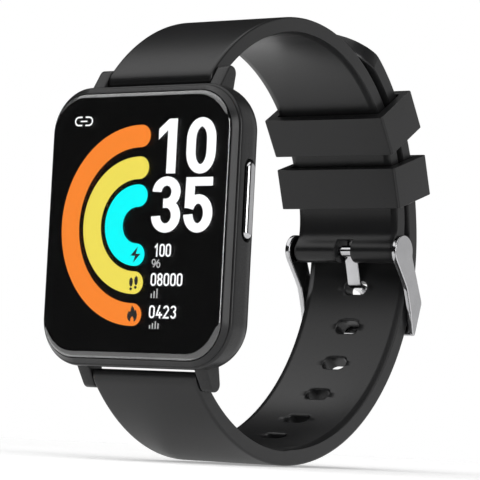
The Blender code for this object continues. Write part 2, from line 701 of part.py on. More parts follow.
def upper_outline():
    centre = UPPER_FRONT_CENTRE
    outer_start = start_angle(centre, UPPER_FRONT_RADII[0], STRAP_FACE_Y + 0.5)
    outer = arc(centre, UPPER_FRONT_RADII[0], outer_start, 90)
    angles = [90 - STRAP_STEP * i for i in range(1, 23)] + [0]
    outer += [upper_back_point(a, 1) for a in angles]
    barrel = arc(PIN_CENTRE, BARREL_RADIUS, 0, -235, 16)
    step_in = (upper_back_point(0, -1)[0], NOTCH_TOP_Z + 1.0)
    inner = [upper_back_point(a, -1) for a in reversed(angles)]
    inner_y = strap_end(centre, UPPER_FRONT_RADII, 1)[0]
    inner_start = angle_about(centre, inner_y)
    front = arc(centre, UPPER_FRONT_RADII[1], 90, inner_start)
    return outer + barrel + [step_in] + inner + front[:-1] + strap_end(centre, UPPER_FRONT_RADII, 1)


def make_upper_strap():
    outline = upper_outline()
    strap = add_object("upper_strap", prism_mesh(outline, -STRAP_HALF_WIDTH, STRAP_HALF_WIDTH), "silicone",
                       origin=(0, BAR_Y, BAR_Z))
    round_edges(strap, STRAP_EDGE_ROUND)
    bore = cylinder_mesh("X", (0, BAR_Y, BAR_Z), STRAP_BORE, -12, 12, 16)
    boolean(strap, add_object("upper_bore_tool", bore, "silicone"))
    pin_bore = cylinder_mesh("X", (0, *PIN_CENTRE), BARREL_BORE, -12, 12, 16)
    boolean(strap, add_object("pin_bore_tool", pin_bore, "silicone"))
    low = (-NOTCH_HALF_X, PIN_CENTRE[0] - 4, PIN_CENTRE[1] - 4)
    notch = box_mesh(low, (NOTCH_HALF_X, PIN_CENTRE[0] + 4, NOTCH_TOP_Z))
    boolean(strap, add_object("notch_tool", notch, "silicone"))


def tail_radius(angle):
    return LOWER_BACK_RADIUS + TAIL_RISE * smoothstep(*TAIL_RISE_ANGLES, angle)


def lower_back_point(angle, depth):
    """A point below the outer surface of the holed strap, by depth."""
    radius = tail_radius(angle) - depth
    turn = math.radians(angle)
    return (LOWER_BACK_CENTRE[0] + radius * math.cos(turn), LOWER_BACK_CENTRE[1] + radius * math.sin(turn))


def lower_outline():
    centre = LOWER_FRONT_CENTRE
    outer_start = -start_angle(centre, LOWER_FRONT_RADII[0], STRAP_FACE_Y + 0.5)
    outer = arc(centre, LOWER_FRONT_RADII[0], outer_start, -90)
    count = round((TAIL_END_ANGLE + 90) / STRAP_STEP)
    angles = [-90 + (TAIL_END_ANGLE + 90) * i / count for i in range(1, count + 1)]
    outer += [lower_back_point(a, 0) for a in angles]
    inner = [lower_back_point(a, LOWER_THICKNESS) for a in reversed(angles)]
    foot = strap_end(centre, LOWER_FRONT_RADII, -1)
    inner_start = angle_about(centre, foot[0])
    front = arc(centre, LOWER_FRONT_RADII[1], -90, inner_start)
    return outer + inner + front[:-1] + foot


def tip_tool():
    """Everything beyond the rounded tail tip: a thick ring sector with a round bite taken out."""
    end = lower_back_point(TAIL_END_ANGLE, LOWER_THICKNESS / 2)
    turn = math.radians(TAIL_END_ANGLE)
    outward = Vector((0, math.cos(turn), math.sin(turn)))
    along = Vector((0, -math.sin(turn), math.cos(turn)))
    tip = Vector((0, *end))
    sagitta = TAIL_TIP_RADIUS - math.sqrt(TAIL_TIP_RADIUS ** 2 - STRAP_HALF_WIDTH ** 2)
    half_angle = math.asin(STRAP_HALF_WIDTH / TAIL_TIP_RADIUS)
    edge = []
    for i in range(13):
        a = -half_angle + 2 * half_angle * i / 12
        edge.append((TAIL_TIP_RADIUS * math.sin(a), TAIL_TIP_RADIUS * (math.cos(a) - 1)))
    wide = STRAP_HALF_WIDTH + 2
    loop = [(-wide, -sagitta)] + edge + [(wide, -sagitta), (wide, 4.0), (-wide, 4.0)]
    work = bmesh.new()
    rings = []
    for depth in (-6.0, 6.0):
        rings.append([work.verts.new(tip + Vector((x, 0, 0)) + along * s + outward * depth) for x, s in loop])
    skin_rings(work, rings, closed=False)
    return add_object("tip_tool", work, "silicone")


def hole_tool(index):
    """Oval cutter through the strap at one hole."""
    angle = HOLE_FIRST_ANGLE + HOLE_PITCH_ANGLE * index
    turn = math.radians(angle)
    outward = Vector((0, math.cos(turn), math.sin(turn)))
    along = Vector((0, -math.sin(turn), math.cos(turn)))
    base = Vector((0, *lower_back_point(angle, LOWER_THICKNESS / 2)))
    loop = [(z, y) for y, z in pill_outline(HOLE_WIDTH, HOLE_HEIGHT, (0, 0), 6)]
    work = bmesh.new()
    rings = []
    for depth in (-3.0, 3.0):
        centre = base + outward * depth
        rings.append([work.verts.new(centre + Vector((x, 0, 0)) + along * s) for x, s in loop])
    skin_rings(work, rings, closed=False)
    return add_object(f"hole_tool_{index}", work, "silicone")


def make_lower_strap():
    strap = add_object("lower_strap", prism_mesh(lower_outline(), -STRAP_HALF_WIDTH, STRAP_HALF_WIDTH),
                       "silicone", origin=(0, BAR_Y, -BAR_Z))
    round_edges(strap, STRAP_EDGE_ROUND)
    bore = cylinder_mesh("X", (0, BAR_Y, -BAR_Z), STRAP_BORE, -12, 12, 16)
    boolean(strap, add_object("lower_bore_tool", bore, "silicone"))
    boolean(strap, tip_tool())
    for index in range(HOLE_COUNT):
        boolean(strap, hole_tool(index))


def make_keeper(name, centre, tilt, pivot):
    """Square-edged loop that slides along a curve about the pivot, where its parent empty stands.

    Its own Y runs through the strap, and its own Z along it.
    """
    turn = Matrix.Rotation(math.radians(tilt), 4, "X")
    low = (-KEEPER_HALF_X, KEEPER_DEPTH[0], -KEEPER_HEIGHT / 2)
    high = (KEEPER_HALF_X, KEEPER_DEPTH[1], KEEPER_HEIGHT / 2)
    keeper = add_object(name, box_mesh(low, high), "silicone")
    low = (-KEEPER_OPENING_X, KEEPER_OPENING[0], -KEEPER_HEIGHT)
    high = (KEEPER_OPENING_X, KEEPER_OPENING[1], KEEPER_HEIGHT)
    hole = add_object(f"{name}_tool", box_mesh(low, high), "silicone")
    boolean(keeper, hole)
    round_edges(keeper, KEEPER_EDGE, 1)
    place = Matrix.Translation(Vector((0, *centre)) * MM) @ turn
    slide = bpy.data.objects.new(f"{name}_slide", None)
    slide.location = Vector((0, *pivot)) * MM
    bpy.context.scene.collection.objects.link(slide)
    bpy.context.view_layer.update()
    for piece in (keeper, hole):
        piece.parent = slide
        piece.matrix_world = place


# ---------------------------------------------------------------- buckle

def crossbar_line(depth):
    """Two YZ points that bound the crossbar plate at a distance outside the holed strap."""
    ends = []
    for z in CROSSBAR_Z:
        reach = z - LOWER_BACK_CENTRE[1]
        y = LOWER_BACK_CENTRE[0] + math.sqrt(LOWER_BACK_RADIUS ** 2 - reach ** 2)
        outward = Vector((y - LOWER_BACK_CENTRE[0], reach)).normalized()
        ends.append((y + outward.x * depth, z + outward.y * depth))
    return ends


def arm_outline():
    top_outer, tip_outer = crossbar_line(CROSSBAR_GAP + CROSSBAR_THICKNESS + ARM_PROUD)
    head = arc(PIN_CENTRE, ARM_END_RADIUS, -14, 214, 15)
    wrist_side = [(51.95, -4.2), (52.95, -5.5), (53.7, -7.4), (54.5, -9.7), (55.2, -12.6), (55.45, -13.4)]
    return head + wrist_side + [tip_outer, top_outer]


def make_buckle():
    axis_point = (0, *PIN_CENTRE)
    frame = add_object("buckle_frame", prism_mesh(arm_outline(), ARM_INNER_X, ARM_OUTER_X), "steel",
                       origin=axis_point)
    other = add_object("left_arm_tool", prism_mesh(arm_outline(), -ARM_OUTER_X, -ARM_INNER_X), "steel")
    inner = crossbar_line(CROSSBAR_GAP)
    outer = crossbar_line(CROSSBAR_GAP + CROSSBAR_THICKNESS)
    plate = prism_mesh([inner[0], inner[1], outer[1], outer[0]], -ARM_INNER_X - 0.4, ARM_INNER_X + 0.4)
    boolean(frame, add_object("crossbar_tool", plate, "steel"), "UNION")
    boolean(frame, other, "UNION")
    for side_x in (-1, 1):
        edge = sorted((side_x * (ARM_INNER_X - 0.5), side_x * ARM_HOLE_END_X))
        hole = cylinder_mesh("X", axis_point, ARM_HOLE_RADIUS, *edge, sides=14)
        boolean(frame, add_object(f"arm_hole_{side_x}", hole, "steel"))
    pin = cylinder_mesh("X", axis_point, PIN_RADIUS, -PIN_HALF_LENGTH, PIN_HALF_LENGTH, 14)
    add_object("buckle_pin", pin, "steel", origin=axis_point)


def tongue_path():
    """Centre line of the blade, from its ring through the strap hole to the crossbar."""
    start = Vector(PIN_CENTRE) + Vector((0.62, 0.1))
    knots = [start, (52.75, -0.9), (53.3, -2.5), (53.7, -3.9), (53.92, -4.65), (54.4, -4.97), (55.6, -5.2),
             (56.9, -5.42), (57.75, -5.75), (58.3, -6.4), (58.5, -7.45), (58.27, -8.75), (57.9, -10.4),
             (57.5, -12.2)]
    return [Vector(k) for k in knots]


def tongue_outline():
    path = tongue_path()
    left = []
    right = []
    for i, point in enumerate(path):
        ahead = path[min(i + 1, len(path) - 1)]
        behind = path[max(i - 1, 0)]
        along = (ahead - behind).normalized()
        normal = Vector((-along.y, along.x))
        half = TONGUE_THICKNESS / 2 * (0.6 if i == len(path) - 1 else 1.0)
        left.append(tuple(point + normal * half))
        right.append(tuple(point - normal * half))
    return left + right[::-1]


def make_tongue():
    axis_point = (0, *PIN_CENTRE)
    blade = prism_mesh(tongue_outline(), -TONGUE_HALF_X, TONGUE_HALF_X)
    tongue = add_object("buckle_tongue", blade, "steel", origin=axis_point)
    ring = cylinder_mesh("X", axis_point, TONGUE_RING_RADIUS, -TONGUE_HALF_X + 0.1, TONGUE_HALF_X - 0.1, 18)
    boolean(tongue, add_object("tongue_ring_tool", ring, "steel"), "UNION")
    hole = cylinder_mesh("X", axis_point, TONGUE_RING_BORE, -3, 3, 14)
    boolean(tongue, add_object("tongue_bore_tool", hole, "steel"))


def keeper_1_centre():
    return arc(UPPER_BACK_CENTRE, KEEPER_1_RADIUS, KEEPER_1_ANGLE, KEEPER_1_ANGLE)[0]


def main():
    clear_scene()
    make_mid_case()
    make_bezel_and_glass()
    make_back()
    make_screws()
    make_sensor()
    make_charging()
    make_inside()
    make_motor()
    make_button()
    make_spring_bar("upper", 1)
    make_spring_bar("lower", -1)
    make_upper_strap()
    make_lower_strap()
    make_keeper("keeper_upper", keeper_1_centre(), KEEPER_1_ANGLE, UPPER_BACK_CENTRE)
    make_keeper("keeper_lower", KEEPER_2_CENTRE, KEEPER_2_TILT, KEEPER_2_PIVOT)
    make_buckle()
    make_tongue()


main()
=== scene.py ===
"""Looks of the smartwatch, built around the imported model.

Lengths are in millimetres here and become metres when a mesh is made. The frame is the model's
own: +Z to 12 o'clock, the screen looks along -Y, and +X is the side with the button.
"""

import math

import bmesh
import bpy
from mathutils import Matrix, Vector


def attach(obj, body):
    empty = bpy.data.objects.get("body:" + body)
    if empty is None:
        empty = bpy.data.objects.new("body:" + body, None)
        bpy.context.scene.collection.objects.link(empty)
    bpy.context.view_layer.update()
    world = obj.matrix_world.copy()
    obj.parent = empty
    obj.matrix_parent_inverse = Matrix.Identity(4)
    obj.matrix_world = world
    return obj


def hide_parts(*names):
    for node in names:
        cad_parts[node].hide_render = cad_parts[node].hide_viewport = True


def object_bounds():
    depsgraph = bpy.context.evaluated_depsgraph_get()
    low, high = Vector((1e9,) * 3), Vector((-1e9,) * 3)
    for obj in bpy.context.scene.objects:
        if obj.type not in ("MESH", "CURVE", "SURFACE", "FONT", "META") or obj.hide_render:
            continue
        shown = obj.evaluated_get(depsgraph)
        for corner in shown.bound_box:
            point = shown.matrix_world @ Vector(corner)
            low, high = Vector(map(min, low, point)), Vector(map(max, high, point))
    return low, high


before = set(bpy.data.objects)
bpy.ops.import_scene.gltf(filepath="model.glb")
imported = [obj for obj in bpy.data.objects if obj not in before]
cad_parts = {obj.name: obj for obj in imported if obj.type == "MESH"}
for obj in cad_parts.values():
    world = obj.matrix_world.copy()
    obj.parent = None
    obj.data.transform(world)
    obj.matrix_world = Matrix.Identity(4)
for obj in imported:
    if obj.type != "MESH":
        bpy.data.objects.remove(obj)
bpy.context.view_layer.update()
MM = 0.001
GAP = 0.05

# Watch case
CASE_HALF_X = 19.0
CASE_HALF_Z = 22.55
CASE_CORNER = 7.6
CASE_FRONT = -9.2
CASE_BACK = -3.4
CASE_BACK_ROUND = 4.4
CASE_WALL = 2.2
CORNER_STEPS = 22
BEZEL_TIP = -10.2
BEZEL_LEDGE = -9.6
GLASS_INSET = 1.3
GLASS_BACK = -9.92
GLASS_FRONT = -10.8
GLASS_DROP = 0.6                # how far the glass edge falls back
GLASS_ROUND = 1.1               # over what width it does so
GLASS_STEPS = 14
DISPLAY_FRONT = -9.86
DISPLAY_INSET = 2.8
BORDER_Y = (-9.896, -9.912)     # black print behind the glass
COVER_OUTER = -2.0
COVER_INNER = -3.3
WINDOW_RADIUS = 10.4
WINDOW_FLAT_RADIUS = 8.6
WINDOW_INNER_RADIUS = 9.6
FLANGE_RADIUS = 11.4
POST_X = 13.6
POST_Z = 17.2
POST_Y = (-7.8, -3.85)
POST_RADIUS = 1.9
WEB_HALF_WIDTH = 1.2
WEB_REACH = 3.0
SCREW_Y = (-7.0, -2.15)
SCREW_HEAD_Y = -2.75
SCREW_SHANK_RADIUS = 0.55
SCREW_HOLE_RADIUS = 0.66
SCREW_HEAD_RADIUS = 1.1
CONTACT_X = 1.6
CONTACT_Z = -14.4
CONTACT_RADIUS = 0.85

# Lugs and bars
LUG_INNER_X = 10.6
LUG_OUTER_X = 13.0
LUG_TIP_RADIUS = 1.25
BAR_Y = -4.3
BAR_Z = 24.75
LUG_HOLE_RADIUS = 0.48
LUG_HOLE_END_X = 12.0

# Side button
BUTTON_Y = -6.3
BUTTON_Z = 4.2
BUTTON_LENGTH = 12.2
BUTTON_WIDTH = 2.1
RECESS_LENGTH = 12.9
RECESS_WIDTH = 2.8
BUTTON_FACE_X = 19.55
BUTTON_BACK_X = 18.5
KEY_DOME = 0.7                  # how far the button's face falls back to its rim
KEY_ROUND = 0.92                # over what width it does so
RECESS_FLOOR_X = 18.0
STEM_RADIUS = 0.7
STEM_HOLE_RADIUS = 1.15
STEM_END_X = 16.3
CLIP_GROOVE_X = (16.45, 16.79)
CLIP_GROOVE_RADIUS = 0.5

# Straps
STRAP_HALF_WIDTH = 10.4
STRAP_ROUND = 0.42
MARGIN_WIDTH = 1.25             # bevelled band along the inner edges
MARGIN_DEPTH = 0.34
STRAP_BORE = 0.86
STRAP_FACE_Y = -6.25
STRAP_FOOT_Z = 22.8             # 0.15 nearer to the case than the model's
STRAP_TOOL_HALF_X = 12.0        # half length of the rods that cut across a strap
UPPER_LOOP_POINTS = 640
LOWER_LOOP_POINTS = 960
LOOP_PASSES = 7                 # with four, the cuts through the straps fail
UPPER_FRONT_CENTRE = (20.4, 2.85)
UPPER_FRONT_RADII = (34.4, 31.6)
UPPER_BACK_CENTRE = (20.4, 5.25)
UPPER_BACK_MID = 30.55
UPPER_THICKNESS = 2.86
UPPER_SWELL = 0.95
LOWER_FRONT_CENTRE = (19.8, -3.9)
LOWER_FRONT_RADII = (33.2, 30.4)
LOWER_BACK_CENTRE = (19.8, 0.8)
LOWER_BACK_RADIUS = 37.9
LOWER_THICKNESS = 3.0
TAIL_RISE = 2.5
TAIL_RISE_ANGLES = (8.0, 66.0)
TAIL_END_ANGLE = 67.5
TAIL_TIP_RADIUS = 11.0
HOLE_FIRST_ANGLE = -71.25
HOLE_PITCH_ANGLE = 12.25
HOLE_COUNT = 10
HOLE_WIDTH = 4.6
HOLE_HEIGHT = 2.5
HOLE_LIP = 0.3

# Keepers
KEEPER_HALF_X = 12.4
KEEPER_HEIGHT = 7.2
KEEPER_OPENING_X = 10.75
KEEPER_OPENING = (-3.84, 3.98)
KEEPER_DEPTH = (-5.54, 5.3)
KEEPER_EDGE = 0.14
KEEPER_CORNER = 0.42
KEEPER_OPENING_CORNER = 0.5
FAR_KEEPER_ANGLE = 33.6
FAR_KEEPER_RADIUS = 32.58
NEAR_KEEPER_CENTRE = (51.95, 13.4)
NEAR_KEEPER_TILT = 19.2

# Buckle
PIN_CENTRE = (51.3, 1.0)
BARREL_RADIUS = 2.15
BARREL_BORE = 0.72
BARREL_NECK = 3.0               # from the pin up to where the strap's inner face begins
NOTCH_HALF_X = 1.7
NOTCH_TOP_Z = 3.0
NOTCH_ROUND = 0.24
ARM_END_RADIUS = 2.85
ARM_INNER_X = 10.8
ARM_OUTER_X = 11.75
ARM_HOLE_RADIUS = 0.62
ARM_HOLE_END_X = 11.4
CROSSBAR_GAP = 0.26
CROSSBAR_THICKNESS = 0.8
ARM_PROUD = 0.06
CROSSBAR_Z = (-7.4, -13.3)
TONGUE_HALF_X = 1.3
TONGUE_RING_RADIUS = 1.0
TONGUE_RING_BORE = 0.66
TONGUE_THICKNESS = 0.68

# Figures on the screen
SCREEN_SHIFT_X = 0.27           # makes up for the refraction of the glass
UI_DEPTH = (DISPLAY_FRONT - 0.006, DISPLAY_FRONT - 0.022)
OVER_DEPTH = (DISPLAY_FRONT - 0.008, DISPLAY_FRONT - 0.024)     # second strokes of a figure
MARK_DEPTH = (DISPLAY_FRONT - 0.025, DISPLAY_FRONT - 0.034)     # dark marks on the lit rings
RING_PEN = (3.6, 3.6)
CLOCK_PEN = (1.81, 1.47)
COUNTER_HEIGHT = 2.06
COUNTER_PEN = 0.3
PERCENT_PEN = (0.18, 0.18)
UNIT_LEFT = 3.59
UNIT_PITCH = 0.55
UNIT_PEN = (0.24, 0.24)
LINK_CENTRE = (-12.0, 16.86)
LINK_PEN = (0.26, 0.26)

# Studio, in metres
CAMERA_PLACE = (0.25827, -0.34054, -0.03094)
CAMERA_TURN = (94.0223, -2.9413, 35.5411)       # degrees about X, Y and Z
CAMERA_LENS = 198.57
ROOM_STRENGTH = 0.015
REFLECTOR_DIRECTION = (0.583, 0.809, 0.07)
REFLECTOR_COSINES = (0.7, 0.93)
REFLECTOR_STRENGTH = 0.66
SIDE_LIGHT_PLACE = (0.75, -0.35, 0.2)
SIDE_LIGHT_TARGET = (0.0, 0.02, 0.0)
SIDE_LIGHT_SIZE = (0.4, 0.5)
SIDE_LIGHT_POWER = 3.0
SKY_DIRECTION = (0.1, 0.35, -1.0)
SKY_STRENGTH = 2.2
FLOOR_RADIUS = 0.3
FLOOR_GAP = 0.0002
FLOOR_GLOW = 0.32


# ---- materials

def linear(red, green, blue):
    """Scene-linear colour of an 8-bit display colour."""
    shares = (red / 255, green / 255, blue / 255)
    return tuple(((v + 0.055) / 1.055) ** 2.4 if v > 0.04045 else v / 12.92 for v in shares)


def set_inputs(tree, node, inputs):
    """Set each input to a value, or link it to the output socket given for it."""
    for name, value in inputs.items():
        if isinstance(value, bpy.types.NodeSocket):
            tree.links.new(value, node.inputs[name])
        else:
            node.inputs[name].default_value = value


def add_node(tree, kind, inputs, **settings):
    node = tree.nodes.new("ShaderNode" + kind)
    for name, value in settings.items():
        setattr(node, name, value)
    set_inputs(tree, node, inputs)
    return node


def object_place(tree):
    return add_node(tree, "TexCoord", {}).outputs["Object"]


def principled(name, colour, roughness, metallic=0.0, specular=0.5):
    made = bpy.data.materials.new(name)
    made.use_nodes = True
    shader = made.node_tree.nodes["Principled BSDF"]
    values = {"Base Color": (*colour, 1.0), "Roughness": roughness, "Metallic": metallic,
              "Specular IOR Level": specular}
    set_inputs(made.node_tree, shader, values)
    return made, shader


def object_noise(tree, size, detail=3.0, stretch=(1.0, 1.0, 1.0)):
    """Noise whose features are about the given size in millimetres."""
    place = add_node(tree, "Mapping", {"Vector": object_place(tree), "Scale": stretch})
    noise = add_node(tree, "TexNoise", {"Vector": place.outputs["Vector"], "Scale": 1.0 / (size * MM),
                                        "Detail": detail})
    return noise.outputs["Fac"]


def spread(tree, source, low, high):
    """Stretch the middle of a noise to the given range."""
    step = add_node(tree, "MapRange", {"Value": source, "From Min": 0.3, "From Max": 0.7,
                                       "To Min": low, "To Max": high})
    return step.outputs["Result"]


def add_bump(tree, shader, height, depth):
    bump = add_node(tree, "Bump", {"Height": height, "Distance": depth * MM, "Strength": 1.0})
    set_inputs(tree, shader, {"Normal": bump.outputs["Normal"]})


def blend(tree, source, dark, light):
    mix = add_node(tree, "Mix", {"Factor": source, "A": (*dark, 1.0), "B": (*light, 1.0)}, data_type="RGBA")
    return mix.outputs["Result"]


def add_tint(tree, shader, source, dark, light):
    set_inputs(tree, shader, {"Base Color": blend(tree, source, dark, light)})


def grained(name, dark, light, roughness, metallic=0.0, grain=0.2, depth=0.004, cloud=6.0,
            specular=0.5, stretch=(1.0, 1.0, 1.0)):
    """A finish with slow tone and gloss changes and a fine relief."""
    made, shader = principled(name, dark, roughness[0], metallic, specular)
    tree = made.node_tree
    slow = object_noise(tree, cloud)
    fine = object_noise(tree, grain, 4.0, stretch)
    add_tint(tree, shader, spread(tree, slow, 0.0, 1.0), dark, light)
    set_inputs(tree, shader, {"Roughness": spread(tree, fine, *roughness)})
    add_bump(tree, shader, fine, depth)
    return made


def lit(name, colour, strength=1.3):
    """Lit part of the screen: an even glow with the faint stripes of its pixel rows."""
    made, shader = principled(name, (0.0, 0.0, 0.0), 0.8, specular=0.05)
    tree = made.node_tree
    rows = add_node(tree, "TexWave", {"Vector": object_place(tree), "Scale": 1.0 / (0.26 * MM)},
                    bands_direction="Z")
    stripes = blend(tree, rows.outputs["Fac"], [c * 0.94 for c in colour], colour)
    set_inputs(tree, shader, {"Emission Color": stripes, "Emission Strength": strength})
    return made


def clear_glass():
    """Scratch-resistant glass with a hard, more reflective outer coat."""
    made, shader = principled("watch_glass", (0.98, 0.985, 0.99), 0.0, specular=0.3)
    tree = made.node_tree
    set_inputs(tree, shader, {"Transmission Weight": 1.0, "IOR": 1.5, "Coat Weight": 1.0,
                              "Coat Roughness": 0.07, "Coat IOR": 1.75})
    add_tint(tree, shader, object_noise(tree, 9.0, 2.0), (0.97, 0.975, 0.98), (0.99, 0.995, 1.0))
    return made


def circuit_green():
    """Solder mask with copper tracks that show through it."""
    made, shader = principled("circuit_board", (0.01, 0.09, 0.05), 0.35)
    tree = made.node_tree
    tracks = add_node(tree, "TexVoronoi", {"Vector": object_place(tree), "Scale": 1.0 / (1.4 * MM)},
                      feature="DISTANCE_TO_EDGE")
    step = add_node(tree, "Math", {0: tracks.outputs["Distance"], 1: 0.05}, operation="LESS_THAN")
    add_tint(tree, shader, step.outputs["Value"], (0.006, 0.07, 0.035), (0.02, 0.17, 0.07))
    add_bump(tree, shader, step.outputs["Value"], 0.02)
    return made


def crinkled_foil():
    made, shader = principled("battery_foil", (0.6, 0.6, 0.62), 0.3, 1.0)
    tree = made.node_tree
    folds = object_noise(tree, 1.6, 5.0)
    add_tint(tree, shader, folds, (0.5, 0.5, 0.52), (0.68, 0.68, 0.7))
    add_bump(tree, shader, folds, 0.12)
    return made


MATERIALS = {
    "silicone": grained("silicone", (0.0105, 0.0105, 0.011), (0.0125, 0.0125, 0.013), (0.27, 0.35),
                        grain=0.16, depth=0.005, cloud=9.0, specular=0.35),
    "case": grained("case_alloy", (0.014, 0.014, 0.0145), (0.017, 0.017, 0.0175), (0.25, 0.33),
                    grain=0.12, depth=0.0015, specular=0.3),
    "steel": grained("polished_steel", (0.50, 0.50, 0.51), (0.55, 0.55, 0.56), (0.10, 0.17), metallic=1.0,
                     grain=0.5, depth=0.001, cloud=3.0, stretch=(1.0, 0.25, 4.0)),
    "drawn": grained("spring_steel", (0.50, 0.50, 0.51), (0.58, 0.58, 0.59), (0.22, 0.34), metallic=1.0,
                     grain=0.2, depth=0.002, stretch=(0.2, 3.0, 3.0)),
    "plastic": grained("back_plastic", (0.018, 0.018, 0.019), (0.023, 0.023, 0.024), (0.38, 0.52),
                       grain=0.18, depth=0.006),
    "inner": grained("inner_plastic", (0.035, 0.035, 0.037), (0.05, 0.05, 0.052), (0.4, 0.6), grain=0.3),
    "seal": grained("seal", (0.018, 0.018, 0.018), (0.028, 0.028, 0.028), (0.55, 0.75), grain=0.3),
    "tin": grained("tin_plate", (0.52, 0.53, 0.55), (0.6, 0.61, 0.63), (0.2, 0.32), metallic=1.0, grain=0.4),
    "gold": grained("gold_plate", (0.72, 0.48, 0.17), (0.8, 0.58, 0.24), (0.14, 0.24), metallic=1.0,
                    grain=0.3),
    "amber": grained("polyimide", (0.32, 0.12, 0.02), (0.5, 0.22, 0.04), (0.25, 0.4), grain=0.5),
    "tungsten": grained("tungsten", (0.24, 0.24, 0.25), (0.34, 0.34, 0.35), (0.35, 0.5), metallic=1.0,
                        grain=0.15),
    "lens": grained("sensor_lens", (0.006, 0.006, 0.007), (0.01, 0.01, 0.011), (0.05, 0.09), grain=2.0,
                    depth=0.0005),
    "eye": grained("photodiode", (0.012, 0.012, 0.03), (0.03, 0.02, 0.05), (0.1, 0.2), grain=0.6),
    "led": grained("green_led", (0.08, 0.6, 0.2), (0.3, 0.9, 0.4), (0.15, 0.3), grain=0.5),
    "screen": grained("display_black", (0.002, 0.002, 0.002), (0.003, 0.003, 0.003), (0.7, 0.85),
                      grain=0.3, depth=0.0005, specular=0.05),
    "board": circuit_green(),
    "foil": crinkled_foil(),
    "glass": clear_glass(),
    "orange": lit("lit_orange", linear(253, 137, 51)),
    "yellow": lit("lit_yellow", linear(243, 225, 92)),
    "cyan": lit("lit_cyan", linear(17, 255, 255)),
    "white": lit("lit_white", (1.0, 1.0, 1.0), 1.4),
    "grey": lit("lit_grey", linear(190, 190, 190)),
    "mark": lit("unlit_mark", linear(42, 42, 42)),
}


# ---- mesh tools

def link(made):
    bpy.context.scene.collection.objects.link(made)
    return made


def as_object(name, work):
    """Link a bmesh in millimetres as an object in metres."""
    bmesh.ops.recalc_face_normals(work, faces=work.faces)
    bmesh.ops.scale(work, verts=work.verts, vec=(MM, MM, MM))
    mesh = bpy.data.meshes.new(name)
    work.to_mesh(mesh)
    work.free()
    return link(bpy.data.objects.new(name, mesh))


def apply_modifiers(target):
    graph = bpy.context.evaluated_depsgraph_get()
    mesh = bpy.data.meshes.new_from_object(target.evaluated_get(graph))
    target.modifiers.clear()
    target.data = mesh


def cut(target, tools, operation="DIFFERENCE"):
    """Cut or join bmeshes or objects with the target, and remove them."""
    tools = [as_object("tool", tool) if isinstance(tool, bmesh.types.BMesh) else tool for tool in tools]
    for tool in tools:
        step = target.modifiers.new(tool.name, "BOOLEAN")
        step.operation = operation
        step.object = tool
        step.solver = "EXACT"
    apply_modifiers(target)
    for tool in tools:
        bpy.data.objects.remove(tool, do_unlink=True)


def settle(target, finish, body, replaces=(), sharp=32.0):
    """Give a finished piece its material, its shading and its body."""
    target.data.materials.clear()
    target.data.materials.append(MATERIALS[finish])
    target.data.shade_smooth()
    target.data.set_sharp_from_angle(angle=math.radians(sharp))
    even = target.modifiers.new("even shading", "WEIGHTED_NORMAL")
    even.keep_sharp = True
    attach(target, body)
    if replaces:
        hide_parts(*replaces)


def on_circle(centre, radius, angle):
    turn = math.radians(angle)
    return (centre[0] + radius * math.cos(turn), centre[1] + radius * math.sin(turn))


def arc(centre, radius, start, end, step=2.0):
    """Points on an arc; angles are in degrees from the first axis towards the second."""
    count = max(1, round(abs(end - start) / step))
    return [on_circle(centre, radius, start + (end - start) * i / count) for i in range(count + 1)]


def smoothstep(low, high, value):
    share = min(1.0, max(0.0, (value - low) / (high - low)))
    return share * share * (3.0 - 2.0 * share)


def skin(work, rings, closed=False):
    """Bridge equal rings of vertices; an open row of rings gets its ends closed."""
    pairs = list(zip(rings, rings[1:]))
    if closed:
        pairs.append((rings[-1], rings[0]))
    for first, second in pairs:
        count = len(first)
        for i in range(count):
            j = (i + 1) % count
            work.faces.new((first[i], first[j], second[j], second[i]))
    if not closed:
        work.faces.new(rings[0])
        work.faces.new(rings[-1])


def add_ring(work, x, loop):
    """Vertices of a YZ loop at one place along X."""
    return [work.verts.new((x, y, z)) for y, z in loop]


def even_loop(points, count, passes):
    """Resample a closed loop to equal steps and soften its corners."""
    lengths = [0.0]
    size = len(points)
    for i in range(size):
        here = points[i]
        ahead = points[(i + 1) % size]
        lengths.append(lengths[-1] + math.dist(here[:2], ahead[:2]))
    total = lengths[-1]
    loop = []
    k = 0
    for i in range(count):
        goal = total * i / count
        while lengths[k + 1] < goal:
            k += 1
        share = (goal - lengths[k]) / max(1e-9, lengths[k + 1] - lengths[k])
        here = points[k]
        ahead = points[(k + 1) % size]
        loop.append(tuple(a + (b - a) * share for a, b in zip(here, ahead)))
    for _ in range(passes):
        loop = [tuple((a + 2 * b + c) / 4 for a, b, c in zip(loop[i - 1], loop[i], loop[(i + 1) % count]))
                for i in range(count)]
    return loop


def inset_loop(loop, distances):
    """Move each point of a closed loop inward along its normal."""
    count = len(loop)
    area = sum(loop[i - 1][0] * loop[i][1] - loop[i][0] * loop[i - 1][1] for i in range(count))
    side = 1.0 if area > 0 else -1.0
    moved = []
    for i in range(count):
        before = loop[i - 1]
        after = loop[(i + 1) % count]
        run = (after[0] - before[0], after[1] - before[1])
        size = math.hypot(*run) or 1.0
        moved.append((loop[i][0] - side * run[1] / size * distances[i],
                      loop[i][1] + side * run[0] / size * distances[i]))
    return moved


def quarter_insets(radius, steps=5):
    """(distance from the edge, inset) along a quarter round, from the flat to the edge."""
    turns = [math.radians(90 * k / steps) for k in range(steps + 1)]
    return [(radius * (1 - math.sin(turn)), radius * (1 - math.cos(turn))) for turn in turns]


def skin_loop(loop, stations):
    """Skin a YZ loop through stations of (x, inset)."""
    work = bmesh.new()
    skin(work, [add_ring(work, x, inset_loop(loop, [inset] * len(loop))) for x, inset in stations])
    return work


